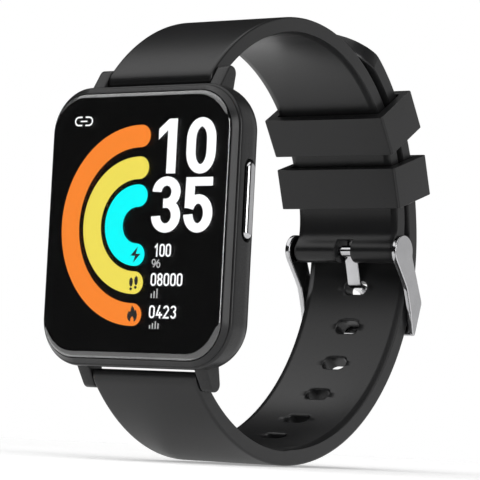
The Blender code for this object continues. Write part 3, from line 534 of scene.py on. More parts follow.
def rounded_prism(loop, x_low, x_high, radius, steps=4):
    """Extrude a YZ loop along X with rounded long edges."""
    rim = quarter_insets(radius, steps)
    low_end = [(x_low + edge, inset) for edge, inset in reversed(rim)]
    return skin_loop(loop, low_end + [(x_high - edge, inset) for edge, inset in rim])


def rounded_box(low, high, radius, steps):
    """Rectangle between two corners, with a quarter arc at each."""
    points = []
    for side_x, side_y, start in ((1, 1, 0), (0, 1, 90), (0, 0, 180), (1, 0, 270)):
        x = high[0] - radius if side_x else low[0] + radius
        y = high[1] - radius if side_y else low[1] + radius
        points += arc((x, y), radius, start, start + 90, 90 / steps)
    return points


def case_outline(inset):
    """Outline of the case in XZ, drawn in by the inset."""
    reach = (CASE_HALF_X - inset, CASE_HALF_Z - inset)
    return rounded_box((-reach[0], -reach[1]), reach, max(0.3, CASE_CORNER - inset), CORNER_STEPS)


def case_loft(profile, closed):
    """Skin the case outline through a profile of (y, inset)."""
    work = bmesh.new()
    rings = [[work.verts.new((x, y, z)) for x, z in case_outline(inset)] for y, inset in profile]
    skin(work, rings, closed)
    return work


AXIS_TURN = {
    "X": Matrix.Identity(4),
    "Y": Matrix.Rotation(math.radians(90), 4, "Z"),
}


def turned(profile, axis, centre, sides=48):
    """Revolve (along, radius) about an axis through the centre."""
    work = bmesh.new()
    turns = [2 * math.pi * (i + 0.5) / sides for i in range(sides)]
    skin(work, [add_ring(work, along, [(radius * math.cos(turn), radius * math.sin(turn)) for turn in turns])
                for along, radius in profile])
    bmesh.ops.transform(work, matrix=AXIS_TURN[axis], verts=work.verts)
    bmesh.ops.translate(work, verts=work.verts, vec=centre)
    return work


def rod(axis, centre, radius, low, high, sides=32):
    return turned([(low, radius), (high, radius)], axis, centre, sides)


def block(low, high):
    work = bmesh.new()
    bmesh.ops.create_cube(work, size=1.0)
    bmesh.ops.scale(work, verts=work.verts, vec=Vector(high) - Vector(low))
    bmesh.ops.translate(work, verts=work.verts, vec=(Vector(high) + Vector(low)) / 2)
    return work


def pill_outline(length, width, centre, steps=14):
    """Slot shape with its long side along the second axis."""
    radius = width / 2
    reach = length / 2 - radius
    top = arc((centre[0], centre[1] + reach), radius, 0, 180, 180 / steps)
    bottom = arc((centre[0], centre[1] - reach), radius, 180, 360, 180 / steps)
    return top + bottom


# ---- case, bezel, glass and back

def back_round(start, end, steps):
    """(y, inset) along the round between the side of the case and its back."""
    centre_y = COVER_OUTER - CASE_BACK_ROUND
    points = []
    for i in range(steps + 1):
        angle = math.radians(start + (end - start) * i / steps)
        points.append((centre_y + CASE_BACK_ROUND * math.sin(angle),
                       CASE_BACK_ROUND * (1 - math.cos(angle))))
    return points


def back_angle(y):
    return math.degrees(math.asin((y - COVER_OUTER + CASE_BACK_ROUND) / CASE_BACK_ROUND))


def lug_loop(side_z):
    """Outline of a lug in YZ."""
    nose = arc((BAR_Y + 0.05, BAR_Z - 0.1), LUG_TIP_RADIUS, 142, -20, 6)
    points = [(-7.5, 21.2), (-7.3, 22.3)] + nose + [(-3.45, 22.2), (-3.75, 20.9)]
    return even_loop([(y, side_z * z) for y, z in points], 90, 2)


def make_case():
    wall = [(CASE_FRONT, 0.46), (CASE_FRONT + 0.03, 0.33), (CASE_FRONT + 0.12, 0.18),
            (CASE_FRONT + 0.3, 0.07), (CASE_FRONT + 0.6, 0.0), (CASE_FRONT + 1.6, 0.0)]
    wall += back_round(0, back_angle(CASE_BACK), 9)
    wall += [(CASE_BACK, CASE_WALL), (CASE_FRONT, CASE_WALL)]
    case = as_object("middle_case", case_loft(wall, closed=True))
    corners = [(side_x, side_z) for side_x in (-1, 1) for side_z in (-1, 1)]
    joined = []
    for side_x, side_z in corners:
        low, high = sorted((side_x * LUG_INNER_X, side_x * LUG_OUTER_X))
        joined.append(rounded_prism(lug_loop(side_z), low, high, 0.3))
    cut(case, joined, "UNION")
    for side_x, side_z in corners:
        cut(case, [screw_post(side_x, side_z)], "UNION")
    holes = []
    for side_x, side_z in corners:
        low, high = sorted((side_x * (LUG_INNER_X - 0.5), side_x * LUG_HOLE_END_X))
        holes.append(rod("X", (0, BAR_Y, side_z * BAR_Z), LUG_HOLE_RADIUS, low, high, 24))
        post = (side_x * POST_X, 0, side_z * POST_Z)
        holes.append(rod("Y", post, SCREW_HOLE_RADIUS, SCREW_Y[0] - 0.2, POST_Y[1] + 0.5, 24))
    holes.append(button_recess())
    holes.append(rod("X", (0, BUTTON_Y, BUTTON_Z), STEM_HOLE_RADIUS, CASE_HALF_X - CASE_WALL - 1,
                     RECESS_FLOOR_X + 0.5))
    cut(case, holes)
    settle(case, "case", "case", ["mid_case"], sharp=38.0)


def screw_post(side_x, side_z):
    """Screw post with the web that ties it to the corner of the wall."""
    reach = Vector((side_x, 0, side_z)).normalized()
    across = Vector((-reach.z, 0, reach.x))
    foot = Vector((side_x * POST_X, 0, side_z * POST_Z))
    post = as_object("post", rod("Y", foot, POST_RADIUS, *POST_Y, 28))
    ends = ((-1, 0), (1, 0), (1, 1), (-1, 1))
    corners = [foot + across * s * WEB_HALF_WIDTH + reach * t * WEB_REACH for s, t in ends]
    web = bmesh.new()
    skin(web, [[web.verts.new((c.x, y, c.z)) for c in corners] for y in POST_Y])
    cut(post, [web], "UNION")
    return post


def button_recess():
    """Pocket for the button, whose rim is broken by a small round."""
    work = bmesh.new()
    rings = []
    for x, grow in ((RECESS_FLOOR_X, 0.0), (18.72, 0.0), (18.86, 0.05), (18.96, 0.16), (19.3, 0.5)):
        loop = pill_outline(RECESS_LENGTH + 2 * grow, RECESS_WIDTH + 2 * grow, (BUTTON_Y, BUTTON_Z))
        rings.append(add_ring(work, x, loop))
    skin(work, rings)
    return work


def make_bezel():
    """Sloped ring between the case and the glass."""
    ring = [(CASE_FRONT - GAP, 0.5), (CASE_FRONT - GAP - 0.03, 0.42), (CASE_FRONT - GAP - 0.12, 0.42),
            (BEZEL_TIP + 0.2, 1.02), (BEZEL_TIP + 0.08, 1.08), (BEZEL_TIP + 0.02, 1.13),
            (BEZEL_TIP, 1.18), (BEZEL_TIP + 0.04, 1.22), (BEZEL_LEDGE, 1.22), (BEZEL_LEDGE, 2.4),
            (CASE_FRONT - GAP, 2.4)]
    bezel = as_object("bezel", case_loft(ring, closed=True))
    settle(bezel, "case", "case", ["bezel_ring"], 38.0)


def make_glass():
    """Cover glass whose edge falls away in a curve."""
    profile = [(GLASS_BACK, 1.42), (GLASS_BACK - 0.06, GLASS_INSET)]
    for drop, grow in quarter_insets(1.0, GLASS_STEPS):
        profile.append((GLASS_FRONT + GLASS_DROP * drop, GLASS_INSET + GLASS_ROUND * grow))
    work = case_loft(profile, closed=False)
    settle(as_object("curved_glass", work), "glass", "case", ["cover_glass"], 60.0)


def make_border():
    """Black print behind the glass, from the edge of the glass to the edge of the display."""
    steps = [(BORDER_Y[0], GLASS_INSET + 0.15), (BORDER_Y[1], GLASS_INSET + 0.15),
             (BORDER_Y[1], DISPLAY_INSET + 0.4), (BORDER_Y[0], DISPLAY_INSET + 0.4)]
    settle(as_object("printed_border", case_loft(steps, closed=True)), "screen", "case")


def make_back():
    """Back cover with its openings for the window, the screws and the charging pads."""
    shell = back_round(back_angle(COVER_INNER), 80, 9)
    shell += [(COVER_OUTER - 0.03, CASE_BACK_ROUND - 0.2), (COVER_OUTER, CASE_BACK_ROUND + 0.9)]
    cover = as_object("back_shell", case_loft([(COVER_INNER, 2.0)] + shell, closed=False))
    window = [(COVER_INNER - 1, WINDOW_RADIUS + 0.12), (COVER_OUTER - 0.25, WINDOW_RADIUS + 0.12),
              (COVER_OUTER - 0.1, WINDOW_RADIUS + 0.17), (COVER_OUTER + 0.4, WINDOW_RADIUS + 0.62)]
    seat = [(COVER_INNER - 1, 0.71), (SCREW_HEAD_Y - 0.1, 0.71), (SCREW_HEAD_Y - 0.1, 1.22),
            (COVER_OUTER - 0.15, 1.22), (COVER_OUTER + 0.4, 1.6)]
    hole = [(COVER_INNER - 1, CONTACT_RADIUS + 0.08), (COVER_OUTER + 1, CONTACT_RADIUS + 0.08)]
    tools = [turned(window, "Y", (0, 0, 0), 96)]
    for side_x in (-1, 1):
        for side_z in (-1, 1):
            tools.append(turned(seat, "Y", (side_x * POST_X, 0, side_z * POST_Z), 32))
        tools.append(turned(hole, "Y", (side_x * CONTACT_X, 0, CONTACT_Z), 32))
    cut(cover, tools)
    settle(cover, "plastic", "case", ["back_cover"], 30.0)


def make_sensor_window():
    """Raised round window with a flange behind the cover."""
    flat = WINDOW_FLAT_RADIUS
    rim = [(0.0, flat), (-0.03, flat + 0.42), (-0.12, flat + 0.8), (-0.3, flat + 1.18), (-0.58, flat + 1.52),
           (-0.9, WINDOW_RADIUS - 0.08), (-1.2, WINDOW_RADIUS), (-3.45, WINDOW_RADIUS),
           (-3.45, FLANGE_RADIUS), (-3.85, FLANGE_RADIUS), (-3.85, WINDOW_INNER_RADIUS),
           (-1.0, WINDOW_INNER_RADIUS)]
    window = as_object("heart_window", turned(rim[::-1], "Y", (0, 0, 0), 96))
    settle(window, "lens", "case", ["sensor_window"], 40.0)


def make_screws():
    corners = {"top_right": (1, 1), "top_left": (-1, 1), "bottom_right": (1, -1), "bottom_left": (-1, -1)}
    for tag, (side_x, side_z) in corners.items():
        centre = (side_x * POST_X, 0, side_z * POST_Z)
        shape = [(SCREW_Y[0], 0.3)]
        for turn in range(12):
            along = SCREW_Y[0] + 0.25 + 0.3 * turn
            shape += [(along, SCREW_SHANK_RADIUS - 0.12), (along + 0.15, SCREW_SHANK_RADIUS)]
        shape += [(SCREW_HEAD_Y, SCREW_SHANK_RADIUS - 0.05), (SCREW_HEAD_Y, SCREW_HEAD_RADIUS - 0.03),
                  (SCREW_HEAD_Y + 0.05, SCREW_HEAD_RADIUS), (SCREW_Y[1] - 0.15, SCREW_HEAD_RADIUS),
                  (SCREW_Y[1] - 0.04, SCREW_HEAD_RADIUS - 0.05), (SCREW_Y[1], SCREW_HEAD_RADIUS - 0.18)]
        screw = as_object(f"back_screw_{tag}", turned(shape, "Y", centre, 40))
        tools = []
        for size_x, size_z in ((0.72, 0.13), (0.13, 0.72)):
            low = (centre[0] - size_x, SCREW_Y[1] - 0.32, centre[2] - size_z)
            high = (centre[0] + size_x, SCREW_Y[1] + 0.3, centre[2] + size_z)
            tools.append(block(low, high))
        cut(screw, tools)
        settle(screw, "drawn", "case", [f"case_screw_{tag}"], 30.0)


def make_contacts():
    for tag, side_x in (("left", -1), ("right", 1)):
        shape = [(-3.9, CONTACT_RADIUS + 0.35), (COVER_INNER - GAP, CONTACT_RADIUS + 0.35),
                 (COVER_INNER - GAP, CONTACT_RADIUS), (COVER_OUTER - 0.25, CONTACT_RADIUS),
                 (COVER_OUTER - 0.14, CONTACT_RADIUS - 0.06), (COVER_OUTER - 0.1, CONTACT_RADIUS - 0.2)]
        contact = as_object(f"pogo_pad_{tag}", turned(shape, "Y", (side_x * CONTACT_X, 0, CONTACT_Z), 40))
        settle(contact, "gold", "case", [f"charge_contact_{tag}"], 30.0)


def make_button():
    """Side button: a domed cap with a stem that runs through the case wall."""
    loop = pill_outline(BUTTON_LENGTH, BUTTON_WIDTH, (BUTTON_Y, BUTTON_Z), 24)
    stations = [(BUTTON_BACK_X, 0.12), (BUTTON_BACK_X + 0.12, 0.0)]
    for drop, grow in quarter_insets(1.0, 9):
        stations.append((BUTTON_FACE_X - KEY_DOME * drop, KEY_ROUND * grow))
    button = as_object("side_key", skin_loop(loop, stations))
    shape = [(STEM_END_X, STEM_RADIUS - 0.12), (STEM_END_X + 0.12, STEM_RADIUS),
             (CLIP_GROOVE_X[0], STEM_RADIUS), (CLIP_GROOVE_X[0], CLIP_GROOVE_RADIUS),
             (CLIP_GROOVE_X[1], CLIP_GROOVE_RADIUS), (CLIP_GROOVE_X[1], STEM_RADIUS),
             (BUTTON_BACK_X + 0.4, STEM_RADIUS)]
    cut(button, [turned(shape, "X", (0, BUTTON_Y, BUTTON_Z), 40)], "UNION")
    settle(button, "steel", "side_button", ["button_cap"], 30.0)


# ---- straps and keepers

def front_faces(centre, radii, side_z):
    """Outer, inner and end face of a strap between the case and the top of its bow."""
    start = math.degrees(math.acos((STRAP_FACE_Y + 0.2 - centre[0]) / radii[0]))
    outer = arc(centre, radii[0], side_z * start, side_z * 90)
    foot_z = side_z * STRAP_FOOT_Z
    inner_y = centre[0] - math.sqrt(radii[1] ** 2 - (foot_z - centre[1]) ** 2)
    corner_z = side_z * centre[1] + math.sqrt(radii[0] ** 2 - (STRAP_FACE_Y - centre[0]) ** 2)
    foot = [(inner_y, foot_z), (STRAP_FACE_Y, foot_z), (STRAP_FACE_Y, side_z * (corner_z - 0.1))]
    inner_end = math.degrees(math.atan2(foot_z - centre[1], inner_y - centre[0]))
    inner = arc(centre, radii[1], side_z * 90, inner_end)[:-1]
    return outer, inner, foot


def upper_back_point(angle, side):
    """Point on the outer (1) or inner (-1) face of the upper strap, which swells towards the buckle."""
    swell = UPPER_SWELL * smoothstep(0.0, 22.0, 22.0 - angle)
    return on_circle(UPPER_BACK_CENTRE, UPPER_BACK_MID + swell + side * UPPER_THICKNESS / 2, angle)


def tail_point(angle, depth):
    """Point at a depth below the outer face of the holed strap, which rises towards its tip."""
    rise = TAIL_RISE * smoothstep(*TAIL_RISE_ANGLES, angle)
    return on_circle(LOWER_BACK_CENTRE, LOWER_BACK_RADIUS + rise - depth, angle)


def tagged(points, inner):
    """Mark points with 1 where the strap touches the wrist, and 0 elsewhere."""
    return [(y, z, inner) for y, z in points]


def upper_loop():
    """Outline of the strap with the buckle."""
    outer, front_inner, foot = front_faces(UPPER_FRONT_CENTRE, UPPER_FRONT_RADII, 1)
    outer += [upper_back_point(angle, 1) for angle in range(89, -1, -1)]
    barrel = arc(PIN_CENTRE, BARREL_RADIUS, 0, -235, 8)
    inner = [(upper_back_point(0, -1)[0], PIN_CENTRE[1] + BARREL_NECK)]
    inner += [upper_back_point(angle, -1) for angle in range(90)] + front_inner
    points = tagged(outer, 0.0) + tagged(barrel, 0.0) + tagged(inner, 1.0) + tagged(foot, 0.0)
    return even_loop(points, UPPER_LOOP_POINTS, LOOP_PASSES)


def lower_loop(x):
    """Outline of the holed strap at one place across its width; the tail tip is round in plan."""
    reach = TAIL_TIP_RADIUS - math.sqrt(TAIL_TIP_RADIUS ** 2 - x * x)
    tip_radius = LOWER_BACK_RADIUS + TAIL_RISE - LOWER_THICKNESS / 2
    end = TAIL_END_ANGLE - math.degrees(reach / tip_radius)
    outer, front_inner, foot = front_faces(LOWER_FRONT_CENTRE, LOWER_FRONT_RADII, -1)
    angles = [-90 + (end + 90) * i / 120 for i in range(1, 121)]
    outer += [tail_point(angle, 0) for angle in angles]
    inner = [tail_point(angle, LOWER_THICKNESS) for angle in reversed(angles)] + front_inner
    points = tagged(outer, 0.0) + tagged(inner, 1.0) + tagged(foot, 0.0)
    return even_loop(points, LOWER_LOOP_POINTS, LOOP_PASSES)


def strap_body(loop_at, middle):
    """Strap with rounded outer edges and a bevelled band along its inner edges."""
    band_x = STRAP_HALF_WIDTH - MARGIN_WIDTH
    right = [(band_x - 0.02, 0.0), (band_x, 0.0), (STRAP_HALF_WIDTH - MARGIN_WIDTH * 0.6, 0.0)]
    right += [(STRAP_HALF_WIDTH - edge, inset) for edge, inset in quarter_insets(STRAP_ROUND)]
    stations = [(-x, inset) for x, inset in reversed(right)] + [(x, 0.0) for x in middle] + right
    work = bmesh.new()
    rings = []
    for x, inset in stations:
        loop = loop_at(x)
        band = MARGIN_DEPTH * max(0.0, abs(x) - band_x) / MARGIN_WIDTH
        distances = [inset + p[2] * band * (1 - inset / STRAP_ROUND) for p in loop]
        rings.append(add_ring(work, x, inset_loop([p[:2] for p in loop], distances)))
    skin(work, rings)
    return work


def cross_rod(centre, radius):
    """Rod that cuts a bore across the whole width of a strap."""
    return rod("X", (0, *centre), radius, -STRAP_TOOL_HALF_X, STRAP_TOOL_HALF_X, 40)


def make_upper_strap():
    loop = upper_loop()
    strap = as_object("strap_buckle_half", strap_body(lambda x: loop, [-6.0, -2.5, 2.5, 6.0]))
    low = (-NOTCH_HALF_X, PIN_CENTRE[0] - 4, PIN_CENTRE[1] - 4)
    high = (NOTCH_HALF_X, PIN_CENTRE[0] + 4, NOTCH_TOP_Z)
    bores = [cross_rod((BAR_Y, BAR_Z), STRAP_BORE), cross_rod(PIN_CENTRE, BARREL_BORE)]
    cut(strap, bores + [block(low, high)])
    soften_notch(strap)
    settle(strap, "silicone", "strap_upper", ["upper_strap"], 42.0)


def soften_notch(strap):
    """Round the rims where the tongue's notch leaves the barrel."""
    work = bmesh.new()
    work.from_mesh(strap.data)
    rims = []
    for edge in work.edges:
        ends = [v.co / MM for v in edge.verts]
        flat = all(abs(abs(p.x) - NOTCH_HALF_X) < 0.01 for p in ends)
        outside = all(math.hypot(p.y - PIN_CENTRE[0], p.z - PIN_CENTRE[1]) > 1.2 for p in ends)
        if flat and outside and edge.is_manifold and edge.calc_face_angle(0.0) > math.radians(40):
            rims.append(edge)
    bmesh.ops.bevel(work, geom=rims, offset=NOTCH_ROUND * MM, offset_type="OFFSET", segments=3, profile=0.5,
                    affect="EDGES", clamp_overlap=True)
    work.to_mesh(strap.data)
    work.free()


def hole_tool(index):
    """Oval cutter with flared ends, which leave a rounded lip."""
    angle = HOLE_FIRST_ANGLE + HOLE_PITCH_ANGLE * index
    turn = math.radians(angle)
    outward = Vector((0, math.cos(turn), math.sin(turn)))
    along = Vector((0, -math.sin(turn), math.cos(turn)))
    base = Vector((0, *tail_point(angle, LOWER_THICKNESS / 2)))
    half = LOWER_THICKNESS / 2
    lip = [(half + 0.5, HOLE_LIP + 0.5)]
    for a in map(math.radians, (20, 40, 60, 75, 90)):
        lip.append((half - HOLE_LIP * (1 - math.cos(a)), HOLE_LIP * (1 - math.sin(a))))
    profile = [(-depth, grow) for depth, grow in lip] + [(depth, grow) for depth, grow in reversed(lip)]
    work = bmesh.new()
    rings = []
    for depth, grow in profile:
        loop = pill_outline(HOLE_WIDTH + 2 * grow, HOLE_HEIGHT + 2 * grow, (0, 0), 14)
        rings.append([work.verts.new(base + Vector((x, 0, 0)) + along * s + outward * depth)
                      for s, x in loop])
    skin(work, rings)
    return work


def make_lower_strap():
    right = [0.8, 2.4, 4.0, 5.4, 6.6, 7.6, 8.3]
    middle = [-x for x in reversed(right)] + right
    strap = as_object("strap_holed_half", strap_body(lower_loop, middle))
    holes = [hole_tool(index) for index in range(HOLE_COUNT)]
    cut(strap, [cross_rod((BAR_Y, -BAR_Z), STRAP_BORE)] + holes)
    settle(strap, "silicone", "strap_lower", ["lower_strap"], 42.0)


def make_keeper(name, body, node, centre, tilt):
    """Square loop round both straps, with small rounds on all its edges."""
    rim = [(edge - KEEPER_HEIGHT / 2, grow) for edge, grow in quarter_insets(KEEPER_EDGE, 3)]
    rise = rim[::-1] + [(-z, grow) for z, grow in rim]
    loops = [(z, -grow, KEEPER_HALF_X, KEEPER_DEPTH, KEEPER_CORNER) for z, grow in rise]
    loops += [(z, grow, KEEPER_OPENING_X, KEEPER_OPENING, KEEPER_OPENING_CORNER)
              for z, grow in reversed(rise)]
    work = bmesh.new()
    rings = []
    for z, grow, half_x, (low_y, high_y), radius in loops:
        loop = rounded_box((-half_x - grow, low_y - grow), (half_x + grow, high_y + grow), radius, 5)
        rings.append([work.verts.new((x, y, z)) for x, y in loop])
    skin(work, rings, closed=True)
    place = Matrix.Translation(Vector((0, *centre))) @ Matrix.Rotation(math.radians(tilt), 4, "X")
    bmesh.ops.transform(work, matrix=place, verts=work.verts)
    settle(as_object(name, work), "silicone", body, [node], 28.0)


def make_keepers():
    far_centre = on_circle(UPPER_BACK_CENTRE, FAR_KEEPER_RADIUS, FAR_KEEPER_ANGLE)
    make_keeper("keeper_loop_far", "keeper_far", "keeper_upper", far_centre, FAR_KEEPER_ANGLE)
    make_keeper("keeper_loop_near", "keeper_near", "keeper_lower", NEAR_KEEPER_CENTRE, NEAR_KEEPER_TILT)


# ---- buckle

def crossbar_line(depth):
    """Ends of a line across the buckle's crossbar, at a height over the outer face of the strap."""
    ends = []
    for z in CROSSBAR_Z:
        reach = z - LOWER_BACK_CENTRE[1]
        y = LOWER_BACK_CENTRE[0] + math.sqrt(LOWER_BACK_RADIUS ** 2 - reach ** 2)
        outward = Vector((y - LOWER_BACK_CENTRE[0], reach)).normalized()
        ends.append((y + outward.x * depth, z + outward.y * depth))
    return ends


def make_buckle():
    """Bow of two arms and a crossbar, with blind holes for the pin."""
    axis_point = (0, *PIN_CENTRE)
    top_outer, tip_outer = crossbar_line(CROSSBAR_GAP + CROSSBAR_THICKNESS + ARM_PROUD)
    head = arc(PIN_CENTRE, ARM_END_RADIUS, -14, 214, 6)
    wrist_side = [(51.95, -4.2), (52.95, -5.5), (53.7, -7.4), (54.5, -9.7), (55.2, -12.6), (55.45, -13.4)]
    loop = even_loop(head + wrist_side + [tip_outer, top_outer], 180, 3)
    buckle = as_object("buckle_bow", rounded_prism(loop, ARM_INNER_X, ARM_OUTER_X, 0.2, 5))
    other = rounded_prism(loop, -ARM_OUTER_X, -ARM_INNER_X, 0.2, 5)
    inner = crossbar_line(CROSSBAR_GAP)
    outer = crossbar_line(CROSSBAR_GAP + CROSSBAR_THICKNESS)
    bar_loop = even_loop([inner[0], inner[1], outer[1], outer[0]], 60, 3)
    bar = bmesh.new()
    skin(bar, [add_ring(bar, x, bar_loop) for x in (-ARM_INNER_X - 0.4, 0, ARM_INNER_X + 0.4)])
    cut(buckle, [bar], "UNION")
    cut(buckle, [other], "UNION")
    holes = []
    for side_x in (-1, 1):
        low, high = sorted((side_x * (ARM_INNER_X - 0.5), side_x * ARM_HOLE_END_X))
        holes.append(rod("X", axis_point, ARM_HOLE_RADIUS, low, high))
    cut(buckle, holes)
    settle(buckle, "steel", "buckle", ["buckle_frame"], 30.0)


def tongue_loop():
    """Outline of the tongue, which bends from the pin through the strap and over the crossbar."""
    start = Vector(PIN_CENTRE) + Vector((0.62, 0.1))
    knots = [start, (52.75, -0.9), (53.3, -2.5), (53.7, -3.9), (53.92, -4.65), (54.4, -4.97), (55.6, -5.2),
             (56.9, -5.42), (57.75, -5.75), (58.3, -6.4), (58.5, -7.45), (58.27, -8.75), (57.9, -10.4),
             (57.5, -12.2)]
    path = [Vector(k) for k in knots]
    last = len(path) - 1
    left = []
    right = []
    for i, point in enumerate(path):
        run = (path[min(i + 1, last)] - path[max(i - 1, 0)]).normalized()
        half = TONGUE_THICKNESS / 2 * (0.6 if i == last else 1.0)
        across = Vector((-run.y, run.x)) * half
        left.append(tuple(point + across))
        right.append(tuple(point - across))
    return even_loop(left + right[::-1], 200, 3)


def make_tongue():
    axis_point = (0, *PIN_CENTRE)
    tongue = as_object("buckle_pin_tongue", rounded_prism(tongue_loop(), -TONGUE_HALF_X, TONGUE_HALF_X, 0.14))
    half = TONGUE_HALF_X - 0.08
    collar = [(-half, TONGUE_RING_RADIUS - 0.12), (-half + 0.12, TONGUE_RING_RADIUS),
              (half - 0.12, TONGUE_RING_RADIUS), (half, TONGUE_RING_RADIUS - 0.12)]
    cut(tongue, [turned(collar, "X", axis_point)], "UNION")
    cut(tongue, [rod("X", axis_point, TONGUE_RING_BORE, -3, 3, 40)])
    settle(tongue, "steel", "tongue", ["buckle_tongue"], 30.0)


# ---- figures on the screen

def stroke(points, pen, closed=False, round_ends=False, depth=UI_DEPTH):
    """Flat line of a fixed pen: pen holds its width across and its height along Z."""
    count = len(points)
    left = []
    right = []
    for i, (x, z) in enumerate(points):
        ahead = points[(i + 1) % count] if closed or i < count - 1 else points[i]
        behind = points[i - 1] if closed or i > 0 else points[i]
        first = Vector((x - behind[0], z - behind[1]))
        second = Vector((ahead[0] - x, ahead[1] - z))
        first = first.normalized() if first.length > 0 else second.normalized()
        second = second.normalized() if second.length > 0 else first
        run = (first + second).normalized()
        normal = Vector((-run.y, run.x))
        miter = 1.0 / max(0.5, normal.dot(Vector((-second.y, second.x))))
        a, b = pen[0] / 2, pen[1] / 2
        reach = math.sqrt((a * normal.x) ** 2 + (b * normal.y) ** 2)
        shift = Vector((a * a * normal.x, b * b * normal.y)) / reach * miter
        left.append((x + shift.x, z + shift.y))
        right.append((x - shift.x, z - shift.y))
    if closed:
        return [(left, depth[0]), (left, depth[1]), (right, depth[1]), (right, depth[0])], True
    loop = left + (cap(points[-1], points[-2], pen) if round_ends else [])
    loop += right[::-1] + (cap(points[0], points[1], pen) if round_ends else [])
    return plate(loop, depth)


def cap(end, before, pen):
    """Half round at the end of a line, from its left side to its right side."""
    heading = math.degrees(math.atan2(end[1] - before[1], end[0] - before[0]))
    return oval(end, (pen[0] / 2, pen[1] / 2), heading + 90, heading - 90, 180 / 14)[1:-1]


def plate(loop, depth=UI_DEPTH):
    """Flat figure with the given outline."""
    return [(loop, y) for y in depth], False


def oval(centre, radii, start=0.0, end=360.0, step=6.0):
    count = max(2, round(abs(end - start) / step))
    closed = abs(end - start) >= 360
    points = []
    for i in range(count if closed else count + 1):
        angle = math.radians(start + (end - start) * i / count)
        points.append((centre[0] + radii[0] * math.cos(angle), centre[1] + radii[1] * math.sin(angle)))
    return points


def stadium(left, right, bottom, top, corner):
    """Closed upright loop with elliptical ends."""
    middle = (left + right) / 2
    radii = ((right - left) / 2, corner)
    return oval((middle, top - corner), radii, 0, 180) + oval((middle, bottom + corner), radii, 180, 360)


def small_digit(digit, left, bottom, width):
    """Shapes of one narrow rounded figure of the three counters."""
    pen = COUNTER_PEN
    brush = (pen, pen)
    wide = width - pen
    high = COUNTER_HEIGHT - pen
    left += pen / 2
    low = bottom + pen / 2
    right = left + wide
    top = low + high
    middle = left + wide / 2
    if digit == "0":
        return [stroke(stadium(left, right, low, top, wide / 2), brush, closed=True)]
    if digit == "1":
        stem = left + wide * 0.75
        return [stroke([(left + wide * 0.2, low + high * 0.72), (stem, top), (stem, bottom)], brush)]
    if digit == "2":
        bow = oval((middle, top - wide / 2), (wide / 2, wide / 2), 170, -35)
        return [stroke(bow + [(left, low), (right + pen / 2, low)], brush)]
    if digit == "3":
        return [stroke(oval((middle, low + high * 0.765), (wide / 2, high * 0.235), 165, -90), brush),
                stroke(oval((middle, low + high * 0.265), (wide / 2, high * 0.265), 90, -165), brush,
                       depth=OVER_DEPTH)]
    if digit == "4":
        bar = low + high * 0.24
        stem = left + wide * 0.72
        return [stroke([(middle + wide * 0.15, top + pen / 2), (left, bar), (right + pen * 0.7, bar)], brush),
                stroke([(stem, low + high * 0.5), (stem, bottom)], brush, depth=OVER_DEPTH)]
    return [stroke(oval((middle, low + high * 0.76), (wide * 0.44, high * 0.24)), brush, closed=True),
            stroke(oval((middle, low + high * 0.26), (wide / 2, high * 0.26)), brush, closed=True,
                   depth=OVER_DEPTH)]


def make_arcs():
    """Three half rings, open to the right, with round ends."""
    for finish, radii in (("orange", (13.6, 14.23)), ("yellow", (9.13, 9.16)), ("cyan", (4.68, 4.7))):
        half = stroke(oval((0.0, 0.0), radii, 90, 270, 4), RING_PEN, round_ends=True)
        lit_piece(f"ring_{finish}", finish, [half])


def lit_piece(name, finish, shapes):
    """One figure of the display, moved over so that the glass shows it in its place."""
    work = bmesh.new()
    for rings, closed in shapes:
        skin(work, [[work.verts.new((x, y, z)) for x, z in loop] for loop, y in rings], closed)
    bmesh.ops.translate(work, verts=work.verts, vec=(SCREEN_SHIFT_X, 0.0, 0.0))
    settle(as_object(name, work), finish, "case", (), 30.0)


def make_clock():
    """The four large figures."""
    one = [(5.42, 16.86), (7.02, 16.86), (7.02, 8.15), (5.21, 8.15), (5.21, 15.03), (3.42, 13.56),
           (3.42, 15.3)]
    lit_piece("hour_tens", "white", [plate(one)])
    lit_piece("hour_ones", "white", [stroke(stadium(9.9, 13.82, 8.79, 16.2, 2.75), CLOCK_PEN, closed=True)])
    waist = (4.95, 3.44)
    upper = oval((5.52, 5.2), (1.87, 1.76), 178, -90) + [waist]
    lower = [waist] + oval((5.56, 1.48), (1.96, 1.96), 90, -178)
    lit_piece("minute_tens", "white", [stroke(upper, CLOCK_PEN), stroke(lower, CLOCK_PEN, depth=OVER_DEPTH)])
    flag = [(9.3, 7.52), (14.5, 7.52), (14.5, 6.14), (11.08, 6.14), (11.0, 2.66), (9.22, 2.66)]
    bow = oval((11.86, 1.8), (1.91, 2.28), 160, -176)
    lit_piece("minute_ones", "white", [plate(flag), stroke(bow, CLOCK_PEN, depth=OVER_DEPTH)])


def make_counters():
    """Three rows of small figures, the percent sign, and plain bars in place of the units."""
    rows = (("charge_figures", "100", 3.5, -5.02, 1.22, 1.08),
            ("step_figures", "08000", 3.28, -9.64, 1.29, 1.12),
            ("energy_figures", "0423", 3.3, -14.74, 1.4, 1.16))
    for name, digits, left, bottom, pitch, width in rows:
        shapes = []
        for i, digit in enumerate(digits):
            shapes += small_digit(digit, left + pitch * i, bottom, width)
        lit_piece(name, "white", shapes)
    rings = [stroke(oval(centre, (0.3, 0.38)), PERCENT_PEN, closed=True)
             for centre in ((3.72, -5.83), (4.66, -6.3))]
    lit_piece("percent_sign", "grey", rings + [stroke([(4.72, -5.46), (3.66, -6.68)], PERCENT_PEN)])
    for name, foot, heights in (("step_unit", -11.55, (0.7, 1.1, 1.5)),
                                ("energy_unit", -16.4, (0.6, 0.9, 1.2, 0.9))):
        places = [UNIT_LEFT + UNIT_PITCH * i for i in range(len(heights))]
        bars = [stroke([(x, foot), (x, foot + height)], UNIT_PEN) for x, height in zip(places, heights)]
        lit_piece(name, "grey", bars)


